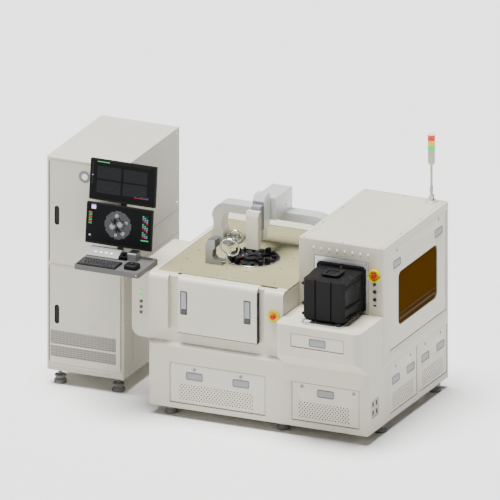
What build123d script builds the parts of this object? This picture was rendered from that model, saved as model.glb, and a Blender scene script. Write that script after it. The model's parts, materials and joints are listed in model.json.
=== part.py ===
from build123d import *
import os
from math import cos, pi, radians, sin, tan

os.makedirs("parts", exist_ok=True)

# Wafer probe station: a prober with a wafer loader beside it, an operator tray with two screens, and a
# tall control cabinet that stands by itself. Millimetres, +Z up, floor at Z 0. The model is laid out from
# the lower right front corner of the main machine, X to the right and Y to the back, and each piece is
# moved by frame_x and frame_y when it is saved, so that the origin is below the middle of the whole.

# Clearances
run_gap = 0.6  # between a moving piece and what it moves in
seat_gap = 0.3  # between pieces of different bodies that rest on each other
panel_gap = 2.0  # seam round a cover or door
bore_gap = 0.1  # radial, shaft in its bore

# Main machine
base_width = 1730.0
base_depth = 1416.0
foot_height = 75.0
base_wall = 20.0
thin_wall = 12.0
base_top = 542.0
table_top = 1077.0
apron_recess = 33.0
raised_front = 6.0
slope_rise = 28.0
corner_radius = 14.0
skin = 20.0

# Wafer loader, on the right of the main machine
loader_width = 667.0
loader_front = 275.0
loader_top = 1415.0
shelf_height = 900.0
shelf_reach = 162.0
shelf_lip_bottom = 666.0
shelf_corner = 49.0
shelf_seam = 5.0

# Console pod, on the left of the main machine
pod_width = 148.0
pod_depth = 700.0
pod_bottom = 569.0
pod_corner = 73.0

# Control cabinet
cabinet_width = 615.0
cabinet_depth = 968.0
cabinet_top = 1737.0
cabinet_bottom = 111.0
cabinet_front = 282.0
cabinet_gap = 175.0
cabinet_corner = 26.0
cabinet_split = 921.0
cabinet_sill = 150.0
cabinet_bay_depth = 900.0
rack_depth = 380.0

# Covers with paddle latches
face_recess = 2.0
leaf = 12.0
paddle_width = 120.0
paddle_height = 48.0
paddle_thick = 6.0
cup_wall = 3.0
cup_depth = 34.0
bay_lip = 20.0
bay_depth = 250.0
vent_pitch = 26.0
vent_hole = 8.0

# Front and side covers: low and high place along the face, and low and high height
front_left_span = (-1560.0, -813.0)
front_left_height = (119.0, 415.0)
front_right_span = (-597.0, -70.0)
front_right_height = (124.0, 412.0)
side_front_span = (392.0, 859.0)
side_rear_span = (908.0, 1381.0)
side_height = (124.0, 493.0)
paddle_drop = 83.0
side_paddle_drop = 134.0
front_left_paddle_inset = 190.0
side_paddle_inset = 103.0
window_panel_span = (390.0, 1370.0)
window_panel_height = (605.0, 1361.0)
window_span = (543.0, 1218.0)
window_height = (750.0, 1154.0)
window_corner = 44.0
window_paddle_inset = 125.0
window_paddle_drop = 124.0
pane_thick = 5.0
pane_lap = 8.0
shelf_cover_span = (-533.0, -119.0)
shelf_cover_height = (743.0, 839.0)
shelf_cover_bay = 60.0
shelf_bay_lip = 10.0

# Probing chamber and its door
door_span = (-1499.0, -875.0)
door_bottom = 659.0
door_wrap = 83.0
door_edge_radius = 39.0
door_skin = 12.0
door_flange = 14.0
door_nose = 6.0
side_trim_width = (153.0, 150.0)
trim_strip = 77.0
trim_corner = 25.0
chamber_span = (-1530.0, -745.0)
chamber_depth = (58.0, 1300.0)
chamber_floor = 640.0
handle_width = 56.0
handle_height = 181.0
handle_inset = 48.0
handle_middle = 888.0
handle_dish = 8.0
lever_width = 40.0

# Table plate, probe card and its clamp ring
plate_margin_left = 39.0
plate_front = 92.0
plate_back = 1290.0
plate_thick = 15.0
plate_edge_gap = 4.0
plate_seam = 1100.0
card_x = -1172.0
card_y = 588.0
card_radius = 190.0
card_clear = 2.0
ring_width = 9.0
ring_height = 8.0

# Stage and chuck
stage_slab = (64.0, 60.0)
rail_size = (30.0, 20.0)
stage_rail_x = 235.0
carriage_thick = 30.0
chuck_radius = 155.0
chuck_thick = 28.0
stage_y_travel = (-200.0, 300.0)
stage_x_travel = 100.0
stage_z_travel = 60.0

# Bridge and microscope
bridge_middle_y = 948.0
bridge_depth = 117.0
bridge_half_span = 461.0
bridge_top = 1348.0
bridge_thick = 65.0
bridge_outer_radius = 110.0
bridge_leg = 87.0
bridge_waist = 12.0
scope_box_right = -1050.0
scope_box = (159.0, 285.0, 160.0)
scope_right = -1090.0
scope_width = 90.0
neck_depth = 16.0
neck_width = 76.0
column_depth = 105.0
column_span = (1297.0, 1554.0)
column_cut = (26.0, 40.0)
rail_depth = 52.0
rail_span = (1300.0, 1490.0)
module_depth = 52.0
module_width = 99.0
module_span = (1181.0, 1461.0)
module_cut = (15.0, 33.0)
objective_bottom = 1205.0
objective_radius = 20.0
objective_block = (1214.0, 1297.0)

# Twin wheel beside the card, on a shaft that leans down towards the front
wheel_centre = (-1268.0, 394.0, 1211.0)
wheel_axis = (0.07, -0.95, -0.28)
wheel_radius = 71.0
wheel_rim = 7.0
rear_wheel_radius = 55.0
wheel_spacing = 128.0
wheel_shaft = 8.0
wheel_boss_radius = 22.0
wheel_boss_length = 44.0
bracket_left = -1443.0
bracket_front = 354.0
bracket_depth = 70.0
bracket_height = 182.0

# Load port
port_plate_span = (-543.0, -123.0)
port_plate_top = 1296.0
port_plate_thick = 8.0
port_open_span = (-510.0, -150.0)
port_open_height = (922.0, 1258.0)
shutter_thick = 10.0
shutter_lap = 14.0
shutter_travel = 325.0
foup_middle = -330.0
foup_flange = (387.0, 334.0)
foup_flange_thick = 12.0
foup_bottom = 925.0
foup_top = 1228.0
foup_depth = 326.0
foup_rear_width = 350.0
foup_front_width = 330.0
pod_slots = 13
pod_slot_pitch = 20.0
dock_width = 313.0
dock_front = -97.0
dock_back = 240.0
dock_thick = 14.0
dock_travel = 60.0
dock_pin = 6.0

# Wafer handler in the loader
handler_x = -333.0
handler_y = 800.0
handler_base_radius = 95.0
handler_base_top = 800.0
handler_column_radius = 55.0
handler_lift = 50.0
turntable_length = 290.0
turntable_width = 120.0
turntable_thick = 46.0
blade_reach = 290.0
blade_travel = 180.0
blade_thick = 5.0
wafer_slot_height = (905.0, 965.0)
wafer_slot_width = 360.0

# Panel fittings
led_count = 8
led_pitch = 61.3
led_first = -550.0
led_height = 1358.0
led_radius = 6.0
pod_lamp_radius = 12.0
pod_lamp_top = 919.0
pod_lamp_pitch = 41.0
pod_lamp_count = 5
estop_loader = (-67.0, 1210.0)
estop_prober = (-740.0, 891.0)
estop_radius = 47.5
estop_wall = 9.0
estop_height = 26.0
mushroom_radius = 20.0
estop_stem = 9.0
estop_travel = 5.0
selector_height = 1141.0
selector_radius = 12.0
button_heights = (1083.0, 1025.0)
button_radius = 10.0
button_travel = 3.0

# Signal tower
tower_x = -112.0
tower_y = 1364.0
tower_disc = 46.5
tower_hinge_height = 38.0
tower_pole_radius = 9.0
tower_pole_top = 275.0
tower_head_radius = 26.0
tower_head = 120.0
tower_lamp = 38.0
tower_lamp_count = 3

# Tray, its devices and the screens
tray_left = -2248.0
tray_right = -1742.0
tray_front = -160.0
tray_back = 191.0
tray_top = 1118.0
tray_lip = 38.0
tray_skin = 4.0
post_x = -1800.0
post_y = 110.0
post_radius = 25.0
console_span = (-2244.0, -1996.0)
console_depth = (48.0, 150.0)
console_rise = 46.0
console_lamp_radius = 9.0
keyboard_corner = (-2232.0, -152.0)
keyboard_size = (302.0, 136.0, 20.0)
mouse_centre = (-1830.0, -70.0)
mouse_size = (104.0, 96.0, 34.0)
ball_radius = 22.0
joystick_base_width = 62.0
joystick_y = 92.0
pedestal_span = (-1928.0, -1862.0)
pedestal_depth = (66.0, 150.0)
pedestal_height = 58.0
screen_middle = -2031.0
screen_width = 522.0
screen_height = 303.0
screen_thick = 26.0
screen_lean = 6.6
screen_lower = (130.0, 1187.0)
screen_upper = (198.0, 1497.0)
screen_pivot = 13.0
mast_width = 90.0
mast_thick = 14.0

# Socket plate sunk in the right side, near the front
socket_span = (72.0, 188.0)
socket_height = (188.0, 322.0)
socket_depth = 6.0
socket_pitch = (66.0, 72.0)
socket_size = (37.0, 49.0)

# Feet: X and Y of each, below the main machine and below the cabinet
foot_radius = 47.5
machine_feet = [(-1596, 97), (-715, 107), (-54, 340), (-54, 1294), (-1596, 1294), (-715, 1294)]
cabinet_foot_inset = 78.0

overall_width = base_width + pod_width + cabinet_gap + cabinet_width
frame_x = overall_width / 2
frame_y = -(base_depth - shelf_reach) / 2
left_x = -base_width
pod_left = left_x - pod_width
cabinet_right = pod_left - cabinet_gap
cabinet_left = cabinet_right - cabinet_width


def block(x, y, z):
    # A box that fills the given low and high X, Y and Z.
    size = [abs(span[1] - span[0]) for span in (x, y, z)]
    middle = [(span[0] + span[1]) / 2 for span in (x, y, z)]
    return Pos(*middle) * Box(*size)


def round_block(x, y, z, radius, axis=Axis.Z):
    # The same box with the four edges along one axis rounded.
    body = block(x, y, z)
    return fillet(body.edges().filter_by(axis), radius)


def prism_x(points, x):
    # An outline in Y and Z, drawn out along X.
    outline = make_face(Plane.YZ * Polyline(*points, close=True))
    return extrude(Pos(x[0], 0, 0) * outline, x[1] - x[0], dir=(1, 0, 0))


def prism_y(points, y):
    # An outline in X and Z, drawn out along Y.
    outline = make_face(Plane.XZ * Polyline(*points, close=True))
    return extrude(Pos(0, y[0], 0) * outline, y[1] - y[0], dir=(0, 1, 0))


def prism_z(points, z):
    # An outline in X and Y, drawn out along Z.
    outline = make_face(Polyline(*points, close=True))
    return extrude(Pos(0, 0, z[0]) * outline, z[1] - z[0], dir=(0, 0, 1))


def rod(radius, start, direction, length):
    # A round bar from a point along a direction.
    plane = Plane(origin=start, z_dir=direction)
    return extrude(plane * Circle(radius), length)


def upright(radius, x, y, z):
    # A round bar along Z.
    return rod(radius, (x, y, z[0]), (0, 0, 1), z[1] - z[0])


def together(*shapes):
    # Pieces that make one node, kept as one compound.
    solids = []
    for shape in shapes:
        solids.extend(shape.solids())
    return Compound(children=solids)


def save(name, shape):
    # One file per node, in the frame of the whole.
    export_step(Pos(frame_x, frame_y, 0) * shape, f"parts/{name}.step")


def on_front(x, z, face_y=0.0):
    # Places a cover that is drawn in its own plane on a front face.
    return Pos(x, face_y + face_recess, z)


def on_side(y, z):
    # Places the same cover on the right side face.
    return Pos(-face_recess, y, z) * Rot(0, 0, 90)


def cover_leaf(width, height):
    # A cover leaf whose lower edge is its round hinge nose: X along it, Y inwards, Z up.
    nose = leaf / 2
    plate = block((0, width), (0, leaf), (nose, height))
    return plate + rod(nose, (0, nose, nose), (1, 0, 0), width)


def paddle_cup(x, z):
    # The cup behind one paddle and the pocket through it.
    half_w = paddle_width / 2 + run_gap
    half_h = paddle_height / 2 + run_gap
    cup = block(
        (x - half_w - cup_wall, x + half_w + cup_wall),
        (leaf / 2, cup_depth),
        (z - half_h - cup_wall, z + half_h + cup_wall),
    )
    pocket = block((x - half_w, x + half_w), (-1, cup_depth - cup_wall), (z - half_h, z + half_h))
    return cup, pocket


def paddle(x, z):
    # One flush paddle, round along its upper edge where it turns and hollowed behind.
    nose = paddle_thick / 2
    top = z + paddle_height / 2 - nose
    low = z - paddle_height / 2
    left = x - paddle_width / 2
    plate = block((left, left + paddle_width), (0, paddle_thick - 1), (low, top))
    plate += rod(nose, (left, nose, top), (1, 0, 0), paddle_width)
    hollow = block((left + 6, left + paddle_width - 6), (3, paddle_thick), (low + 6, top - 8))
    return plate - hollow


def vent_holes(x, z):
    # Rows of small square openings turned on their corners, each row set half a pitch along.
    cutters = []
    rows = int((z[1] - z[0]) // (vent_pitch / 2 * 1.2))
    for row in range(rows):
        shift = vent_pitch / 2 if row % 2 else 0.0
        height = z[0] + row * vent_pitch / 2 * 1.2
        count = int((x[1] - x[0] - shift) // vent_pitch)
        for step in range(count):
            place = Pos(x[0] + shift + step * vent_pitch, leaf / 2, height)
            cutters.append(place * Rot(0, 45, 0) * Box(vent_hole, leaf * 2, vent_hole))
    return cutters


def latched_cover(width, height, paddles, vents=None):
    # A cover with cups for its paddles, and its paddles as their own piece.
    body = cover_leaf(width, height)
    handles = []
    for x, z in paddles:
        cup, pocket = paddle_cup(x, z)
        body = body + cup - pocket
        handles.append(paddle(x, z))
    if vents:
        body = body - vent_holes(*vents)
    return body, Compound(children=handles)


def cover_pocket(width, height, depth, lip=bay_lip):
    # What a cover and the bay behind it take out of the housing, in the cover's own plane.
    seat = block(
        (-panel_gap, width + panel_gap), (-face_recess - 1, leaf + seat_gap), (-panel_gap, height + panel_gap)
    )
    bay = block((lip, width - lip), (0, depth), (lip, height - lip))
    return seat + bay


def span_size(span):
    return span[1] - span[0]


# Base housing: the lower body of the main machine, with a bay behind each cover.
def base_housing():
    body = round_block((left_x, 0), (0, base_depth), (foot_height, base_top), corner_radius)
    wall = base_wall
    inside = block((left_x + wall, -wall), (wall, base_depth - wall), (foot_height + wall, base_top - wall))
    body -= inside
    front_left = cover_pocket(span_size(front_left_span), span_size(front_left_height), bay_depth)
    front_right = cover_pocket(span_size(front_right_span), span_size(front_right_height), bay_depth)
    side_front = cover_pocket(span_size(side_front_span), span_size(side_height), bay_depth)
    side_rear = cover_pocket(span_size(side_rear_span), span_size(side_height), bay_depth)
    body -= on_front(front_left_span[0], front_left_height[0]) * front_left
    body -= on_front(front_right_span[0], front_right_height[0]) * front_right
    body -= on_side(side_front_span[0], side_height[0]) * side_front
    body -= on_side(side_rear_span[0], side_height[0]) * side_rear
    body -= block((-socket_depth, 1), socket_span, socket_height)
    middle_y, middle_z = sum(socket_span) / 2, sum(socket_height) / 2
    for side_y in (-0.5, 0.5):
        for side_z in (-0.5, 0.5):
            y, z = middle_y + side_y * socket_pitch[0] * 0.9, middle_z + side_z * socket_pitch[1] * 0.9
            half_y, half_z = socket_size[0] / 2, socket_size[1] / 2
            body += block((-socket_depth - 1, -1), (y - half_y, y + half_y), (z - half_z, z + half_z))
            body -= block((-socket_depth, 0), (y - half_y + 4, y + half_y - 4), (z - half_z + 5, z + half_z - 5))
    return body


# Prober housing: the chamber that holds the stage, open to the front and closed above by the table plate.
def prober_housing():
    right = -loader_width
    top_front = apron_recess + slope_rise
    outline = [
        (0, base_top),
        (apron_recess, base_top + slope_rise),
        (apron_recess, table_top),
        (base_depth, table_top),
        (base_depth, base_top),
    ]
    body = prism_x(outline, (left_x, right))
    trim_bottom = door_bottom
    left_trim = (left_x, left_x + side_trim_width[0])
    right_trim = (right - side_trim_width[1], right)
    for span in (left_trim, right_trim):
        raised = block(span, (-raised_front, top_front), (trim_bottom, table_top))
        upper = raised.edges().filter_by(Axis.X).sort_by(Axis.Z)[-2:].sort_by(Axis.Y)[0]
        raised = fillet(upper, door_edge_radius)
        lower = raised.edges().filter_by(Axis.Y).sort_by(Axis.Z)[:2]
        raised = fillet(lower, trim_corner)
        body += raised
    left_strip = (left_trim[1], door_span[0] - panel_gap)
    right_strip = (door_span[1] + panel_gap, right_trim[0])
    chamber = block(chamber_span, chamber_depth, (chamber_floor, table_top + 1))
    body -= chamber
    plate_left = left_x + plate_margin_left
    recess = block(
        (plate_left - plate_edge_gap, right + 1),
        (plate_front - plate_edge_gap, plate_back + plate_edge_gap),
        (table_top - plate_thick, table_top + 1),
    )
    body -= recess
    mouth = block(
        (door_span[0] + bay_lip, door_span[1] - bay_lip),
        (-20, chamber_depth[0] + 1),
        (chamber_floor + bay_lip * 2, table_top - bay_lip * 2),
    )
    body -= mouth
    hinge_seat = block(
        (door_span[0] - panel_gap, door_span[1] + panel_gap),
        (apron_recess - 1, door_wrap - raised_front + door_nose + 1.5),
        (table_top - door_flange - 1, table_top + 1),
    )
    body -= hinge_seat
    for span in (left_strip, right_strip):
        bevel = prism_x(
            [(apron_recess - 1, table_top + 1), (apron_recess + 12, table_top + 1), (apron_recess - 1, table_top - 12)],
            span,
        )
        body -= bevel
    body -= stop_well(estop_places()[1])
    return body - wafer_slot((right - 90, right + 1))


def stop_well(place):
    # The blind hole that a stop button's stem sinks into.
    x, y, z = place
    return rod(estop_stem + run_gap, (x, y - 1, z), (0, 1, 0), 13)


def wafer_slot(x):
    # The slot that wafers pass through between loader and chamber.
    half = wafer_slot_width / 2
    return block(x, (handler_y - half, handler_y + half), wafer_slot_height)


# Chamber door: a pan whose upper edge is rounded over and runs back along the top to its hinge nose.
def stage_door():
    front = -raised_front
    back = apron_recess - seat_gap
    hinge_y = door_wrap - raised_front
    hinge_z = table_top - door_nose
    body = block(door_span, (front, back), (door_bottom, table_top))
    body += block(door_span, (back, hinge_y), (table_top - door_flange, table_top))
    edge = body.edges().filter_by(Axis.X).filter_by(lambda e: abs(e.center().Y - front) < 0.1).sort_by(Axis.Z)[-1]
    body = fillet(edge, door_edge_radius)
    body += rod(door_nose, (door_span[0], hinge_y, hinge_z), (1, 0, 0), span_size(door_span))
    pocket = block(
        (door_span[0] + door_skin, door_span[1] - door_skin),
        (front + door_skin, back + 1),
        (door_bottom + door_skin, table_top - door_edge_radius),
    )
    body -= pocket
    for x in handle_places():
        dish = round_block(
            (x - handle_width / 2, x + handle_width / 2),
            (front - 1, front + handle_dish),
            (handle_middle - handle_height / 2, handle_middle + handle_height / 2),
            8,
            Axis.Y,
        )
        body -= dish
    return body


def handle_places():
    return (door_span[0] + handle_inset, door_span[1] - handle_inset - 27)


# Door levers: each turns out of its dish about its upper end, over a square lock at the lower end.
def door_levers():
    front = -raised_front
    levers = []
    for x in handle_places():
        top = handle_middle + handle_height / 2 - 12
        low = handle_middle - handle_height / 2 + 44
        y = front + handle_dish / 2 - 2
        bar = block((x - lever_width / 2, x + lever_width / 2), (y - 5, y + 4), (low, top - 5))
        bar += rod(5, (x - lever_width / 2, y, top - 5), (1, 0, 0), lever_width)
        levers.append(bar)
    return Compound(children=levers)


def door_locks():
    # The square lock below each lever, seated in the dish.
    front = -raised_front
    locks = []
    for x in handle_places():
        low = handle_middle - handle_height / 2 + 6
        locks.append(block((x - 17, x + 17), (front - 1.5, front + handle_dish), (low, low + 34)))
    return Compound(children=locks)


# Loader housing: a hollow cabin with the port in front and a large opening behind the window panel.
def loader_housing():
    right = 0.0
    left = -loader_width
    body = block((left, right), (loader_front, base_depth), (base_top, loader_top))
    body = fillet(body.edges().filter_by(Axis.Z).sort_by(Axis.X)[-2:], corner_radius)
    cabin = block((left + skin, right - skin), (loader_front + skin, base_depth - skin), (base_top + skin, loader_top - skin))
    body -= cabin
    panel = cover_pocket(span_size(window_panel_span), span_size(window_panel_height), skin + leaf)
    body -= on_side(window_panel_span[0], window_panel_height[0]) * panel
    plate_seat = block(
        port_plate_span, (loader_front - 1, loader_front + port_plate_thick + face_recess), (shelf_height, port_plate_top)
    )
    body -= plate_seat
    body -= block(port_open_span, (loader_front - 1, loader_front + skin + 1), port_open_height)
    body -= stop_well(estop_places()[0])
    return body - wafer_slot((left - 1, left + skin + 1))


# Load shelf: the bulge in front of the loader, sloped underneath and rounded at its front corners.
def shelf_housing():
    left = -loader_width + shelf_seam
    outline = [
        (0, base_top),
        (-shelf_reach, shelf_lip_bottom),
        (-shelf_reach, shelf_height),
        (loader_front, shelf_height),
        (loader_front, base_top),
    ]
    body = prism_x(outline, (left, 0))
    front_edges = body.edges().filter_by(Axis.Z).sort_by(Axis.Y)[:2]
    body = fillet(front_edges, shelf_corner)
    wall = base_wall
    inner = [
        (wall, base_top + wall),
        (-shelf_reach + wall, shelf_lip_bottom + wall / 2),
        (-shelf_reach + wall, shelf_height - wall),
        (loader_front + 1, shelf_height - wall),
        (loader_front + 1, base_top + wall),
    ]
    body -= prism_x(inner, (left + wall, -wall))
    width, height = span_size(shelf_cover_span), span_size(shelf_cover_height)
    pocket = cover_pocket(width, height, shelf_cover_bay, shelf_bay_lip)
    return body - on_front(shelf_cover_span[0], shelf_cover_height[0], -shelf_reach) * pocket


# Console pod: rounded below on its outer side, it carries the post that the tray turns on.
def console_pod():
    body = block((pod_left, left_x), (apron_recess, apron_recess + pod_depth), (pod_bottom, table_top))
    outer = body.edges().filter_by(Axis.Y).sort_by(Axis.X)[:2]
    low, high = outer.sort_by(Axis.Z)
    body = fillet(low, pod_corner)
    high = body.edges().filter_by(Axis.Y).sort_by(Axis.Z)[-2:].sort_by(Axis.X)[0]
    body = fillet(high, trim_corner)
    inside = block(
        (pod_left + thin_wall, left_x + 1),
        (apron_recess + thin_wall, apron_recess + pod_depth - thin_wall),
        (pod_bottom + pod_corner, table_top - trim_corner),
    )
    post = upright(post_radius, post_x, post_y, (table_top, tray_top - tray_skin - run_gap))
    return body - inside + post


# Feet: a broad pad, a cup above it and a stem, all alike.
def levelling_feet():
    profile = [
        (0, 0),
        (foot_radius, 0),
        (foot_radius, 18),
        (foot_radius - 8, 30),
        (foot_radius - 14, 34),
        (foot_radius - 14, 46),
        (foot_radius - 6, 50),
        (foot_radius - 6, 60),
        (0, 60),
    ]
    pad = revolve(make_face(Plane.XZ * Polyline(*profile, close=True)), Axis.Z)
    places = [(x, y, foot_height) for x, y in machine_feet]
    inset = cabinet_foot_inset
    for x in (cabinet_left + inset, cabinet_right - inset):
        for y in (cabinet_front + inset, cabinet_front + cabinet_depth - inset):
            places.append((x, y, cabinet_bottom))
    feet = []
    for x, y, top in places:
        feet.append(Pos(x, y, 0) * pad + upright(14, x, y, (50, top)))
    return Compound(children=feet)


# Cabinet: a tall shell with a plinth, a shelf between its two bays and a door to each.
def cabinet_body():
    y0, y1 = cabinet_front, cabinet_front + cabinet_depth
    x = (cabinet_left, cabinet_right)
    door_y = y0 + leaf * 2
    shell = block(x, (y0, y1), (cabinet_sill, cabinet_top))
    shell = fillet(shell.edges().filter_by(Axis.Z).sort_by(Axis.Y)[:2], cabinet_corner)
    plinth = block((x[0] + 6, x[1] - 6), (y0 + 8, y1 - 6), (cabinet_bottom, cabinet_sill))
    body = shell + plinth
    for z in cabinet_bays():
        seat = block(cabinet_door_span(), (y0 - 1, door_y), (z[0], z[1]))
        sides = cabinet_door_span()
        bay = block((x[0] + skin, x[1] - skin), (y0, y0 + cabinet_bay_depth), (z[0] + skin, z[1] - skin))
        lips = block((x[0] + skin, sides[0] + 14), (door_y, door_y + 12), (z[0] + skin, z[1] - skin))
        lips += block((sides[1] - 14, x[1] - skin), (door_y, door_y + 12), (z[0] + skin, z[1] - skin))
        body = body - seat - bay + lips
    for rib in range(3):
        z = cabinet_sill + 130 + rib * 90
        body -= block((x[0] - 1, x[0] + 4), (y0 + 200, y1 - 200), (z, z + 40))
    return body


def cabinet_bays():
    # Low and high height of the two door openings.
    return ((cabinet_sill + 12, cabinet_split - 3), (cabinet_split + 3, cabinet_top - 14))


def cabinet_door_span():
    return (cabinet_left + cabinet_corner, cabinet_right - cabinet_corner)


def cabinet_door(z, pull_z, louvres):
    # One leaf with its round hinge nose on the right and a pill pull on the left.
    left, right = cabinet_door_span()
    left, right = left + panel_gap, right - panel_gap
    nose = leaf / 2
    y = cabinet_front + face_recess
    low, high = z[0] + panel_gap, z[1] - panel_gap
    body = block((left, right - nose), (y, y + leaf), (low, high))
    body += upright(nose, right - nose, y + nose, (low, high))
    pull_x = cabinet_left + 85
    slot = SlotOverall(145, 37)
    face = Plane(origin=(pull_x, y - 1, pull_z), x_dir=(0, 0, 1), z_dir=(0, 1, 0))
    body -= extrude(face * slot, 9)
    for low_z, high_z in louvres:
        count = int((high_z - low_z) // 20)
        for row in range(count):
            height = low_z + row * 20
            for x in range(3):
                start = left + 30 + x * (right - left - 60) / 3
                end = start + (right - left - 60) / 3 - 10
                body -= block((start, end), (y - 1, y + leaf + 1), (height, height + 8))
    return body


# Equipment in the lower bay of the cabinet: rack units on two uprights.
def rack_units():
    y = cabinet_front + 90
    back = y + rack_depth
    low = cabinet_bays()[0][0] + skin
    left, right = cabinet_left + skin * 2, cabinet_right - skin * 2
    body = None
    for x in (left, right - 30):
        post = block((x, x + 30), (y, y + 30), (low, low + 640))
        body = post if body is None else body + post
    z = low + 20
    for height in (170, 130, 88, 130):
        unit = block((left + 30, right - 30), (y + 6, back), (z, z + height))
        unit -= block((left + 33, right - 33), (y + 12, back + 1), (z + 3, z + height - 3))
        for side in (left + 50, right - 74):
            unit += block((side, side + 24), (y - 18, y + 6), (z + height * 0.3, z + height * 0.7))
            unit -= block((side - 1, side + 25), (y - 10, y + 6), (z + height * 0.4, z + height * 0.6))
        body += unit
        z += height + 8
    return body


# Table plate: thick, with a seam near its back and the round opening for the card.
def table_plate():
    left = left_x + plate_margin_left
    right = -loader_width
    z = (table_top - plate_thick, table_top)
    body = block((left, right), (plate_front, plate_back), z)
    body -= upright(card_radius + card_clear, card_x, card_y, (z[0] - 1, z[1] + 1))
    body -= block((left - 1, right + 1), (plate_seam, plate_seam + 3), (table_top - 2, table_top + 1))
    return body


def card_ring():
    outer = upright(card_radius + ring_width, card_x, card_y, (table_top, table_top + ring_height))
    outer = chamfer(outer.faces().sort_by(Axis.Z)[-1].edges(), 2.5)
    return outer - upright(card_radius - 4, card_x, card_y, (table_top - 1, table_top + ring_height + 1))


# Probe card: a round board with a stiffener frame, blocks round its rim and a needle head below.
def probe_card():
    low = table_top - plate_thick - 6
    board = upright(card_radius - 0.5, card_x, card_y, (low, table_top))
    hub = upright(72, card_x, card_y, (table_top, table_top + 14))
    hub -= upright(40, card_x, card_y, (table_top + 4, table_top + 15))
    body = board + hub
    for step in range(16):
        turn = Pos(card_x, card_y, table_top) * Rot(0, 0, 22.5 * step)
        tall = 12 + 10 * ((step * 5) % 4)
        body += turn * Pos(card_radius - 38, 0, tall / 2) * Box(34, 22, tall)
    for step in range(4):
        turn = Pos(card_x, card_y, table_top) * Rot(0, 0, 90 * step + 45)
        body += turn * Pos(100, 0, 9) * Box(80, 12, 18)
    needle = Cone(55, 18, 24)
    return body + Pos(card_x, card_y, low) * Rot(180, 0, 0) * Pos(0, 0, 12) * needle


# Stage: a stone slab with rails along Y, a carriage along Y, one along X, then lift column and chuck.
def stage_top():
    return chamber_floor + stage_slab[1]


def stage_base():
    x = (chamber_span[0] + 30, chamber_span[1] - 30)
    y = (chamber_depth[0] + stage_slab[0], chamber_depth[1] - 100)
    body = block(x, y, (chamber_floor, stage_top()))
    for side in (-1, 1):
        middle = card_x + side * stage_rail_x
        half = rail_size[0] / 2
        body += block((middle - half, middle + half), (y[0] + 20, y[1] - 20), (stage_top(), stage_top() + rail_size[1]))
    return body


def y_carriage():
    low = stage_top() + rail_size[1] + seat_gap
    half_x = stage_rail_x + 30
    half_y = 150
    body = block((card_x - half_x, card_x + half_x), (card_y - half_y, card_y + half_y), (low, low + carriage_thick))
    for side in (-1, 1):
        middle = card_x + side * stage_rail_x
        for edge in (-1, 1):
            inner = middle + edge * (rail_size[0] / 2 + run_gap)
            cheek = sorted((inner, inner + edge * 8))
            body += block(cheek, (card_y - half_y, card_y + half_y), (low - 14, low))
        y = card_y + side * 90
        body += block((card_x - half_x, card_x + half_x), (y - 12, y + 12), (low + carriage_thick, low + carriage_thick + 16))
    return body


def x_carriage_low():
    return stage_top() + rail_size[1] + seat_gap * 2 + carriage_thick + 16


def x_carriage():
    low = x_carriage_low()
    half = 130
    body = block((card_x - half, card_x + half), (card_y - half, card_y + half), (low, low + 24))
    body += upright(84, card_x, card_y, (low + 24, low + 76))
    body -= upright(60 + bore_gap, card_x, card_y, (low + 6, low + 77))
    return body


def lift_column():
    low = x_carriage_low() + 6 + seat_gap
    return upright(60, card_x, card_y, (low, low + 100)) + upright(90, card_x, card_y, (low + 92, low + 104))


def chuck_low():
    return x_carriage_low() + 6 + seat_gap * 2 + 104


def chuck():
    low = chuck_low()
    profile = [(0, 0), (100, 0), (chuck_radius, 10), (chuck_radius, chuck_thick), (0, chuck_thick)]
    body = Pos(card_x, card_y, low) * revolve(make_face(Plane.XZ * Polyline(*profile, close=True)), Axis.Z)
    for radius in (40, 75, 110, 145):
        groove = upright(radius, card_x, card_y, (low + chuck_thick - 1, low + chuck_thick + 1))
        groove -= upright(radius - 2, card_x, card_y, (low + chuck_thick - 2, low + chuck_thick + 2))
        body -= groove
    return body


# Bridge: one arch with waisted legs that stand on the table plate.
def bridge():
    half = bridge_half_span
    inner = half - bridge_leg
    y = (bridge_middle_y - bridge_depth / 2, bridge_middle_y + bridge_depth / 2)
    outer = block((card_x - half, card_x + half), y, (table_top, bridge_top))
    outer = fillet(outer.edges().filter_by(Axis.Y).sort_by(Axis.Z)[-2:], bridge_outer_radius)
    under = bridge_top - bridge_thick
    hollow = block((card_x - inner, card_x + inner), (y[0] - 1, y[1] + 1), (table_top - 1, under))
    hollow = fillet(hollow.edges().filter_by(Axis.Y).sort_by(Axis.Z)[-2:], bridge_outer_radius * 0.55)
    body = outer - hollow
    middle = (table_top + under) / 2
    sagitta = bridge_waist
    chord = (under - table_top) * 0.62
    waist_radius = (chord * chord / 4 + sagitta * sagitta) / (2 * sagitta)
    for side in (-1, 1):
        for face_x, away in ((half, 1), (inner, -1)):
            centre = card_x + side * (face_x + away * (waist_radius - sagitta))
            cutter = Plane(origin=(centre, y[1] + 1, middle), z_dir=(0, -1, 0)) * Circle(waist_radius)
            reach = (centre - waist_radius, centre + waist_radius)
            keep = block(reach, (y[0] - 2, y[1] + 2), (table_top + 8, under - 24))
            body -= extrude(cutter, bridge_depth + 2) & keep
    for group in (-330, -110, 190, 330):
        for dx in (-14, 14):
            for dy in (-22, 22):
                x = card_x + group + dx
                body -= upright(4, x, bridge_middle_y + dy, (bridge_top - 8, bridge_top + 1))
    return body


def scope_box_span():
    return (scope_box_right - scope_box[0], scope_box_right)


def scope_back():
    return bridge_middle_y + bridge_depth / 2


def neck_front():
    return scope_back() - scope_box[1] - neck_depth


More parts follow.
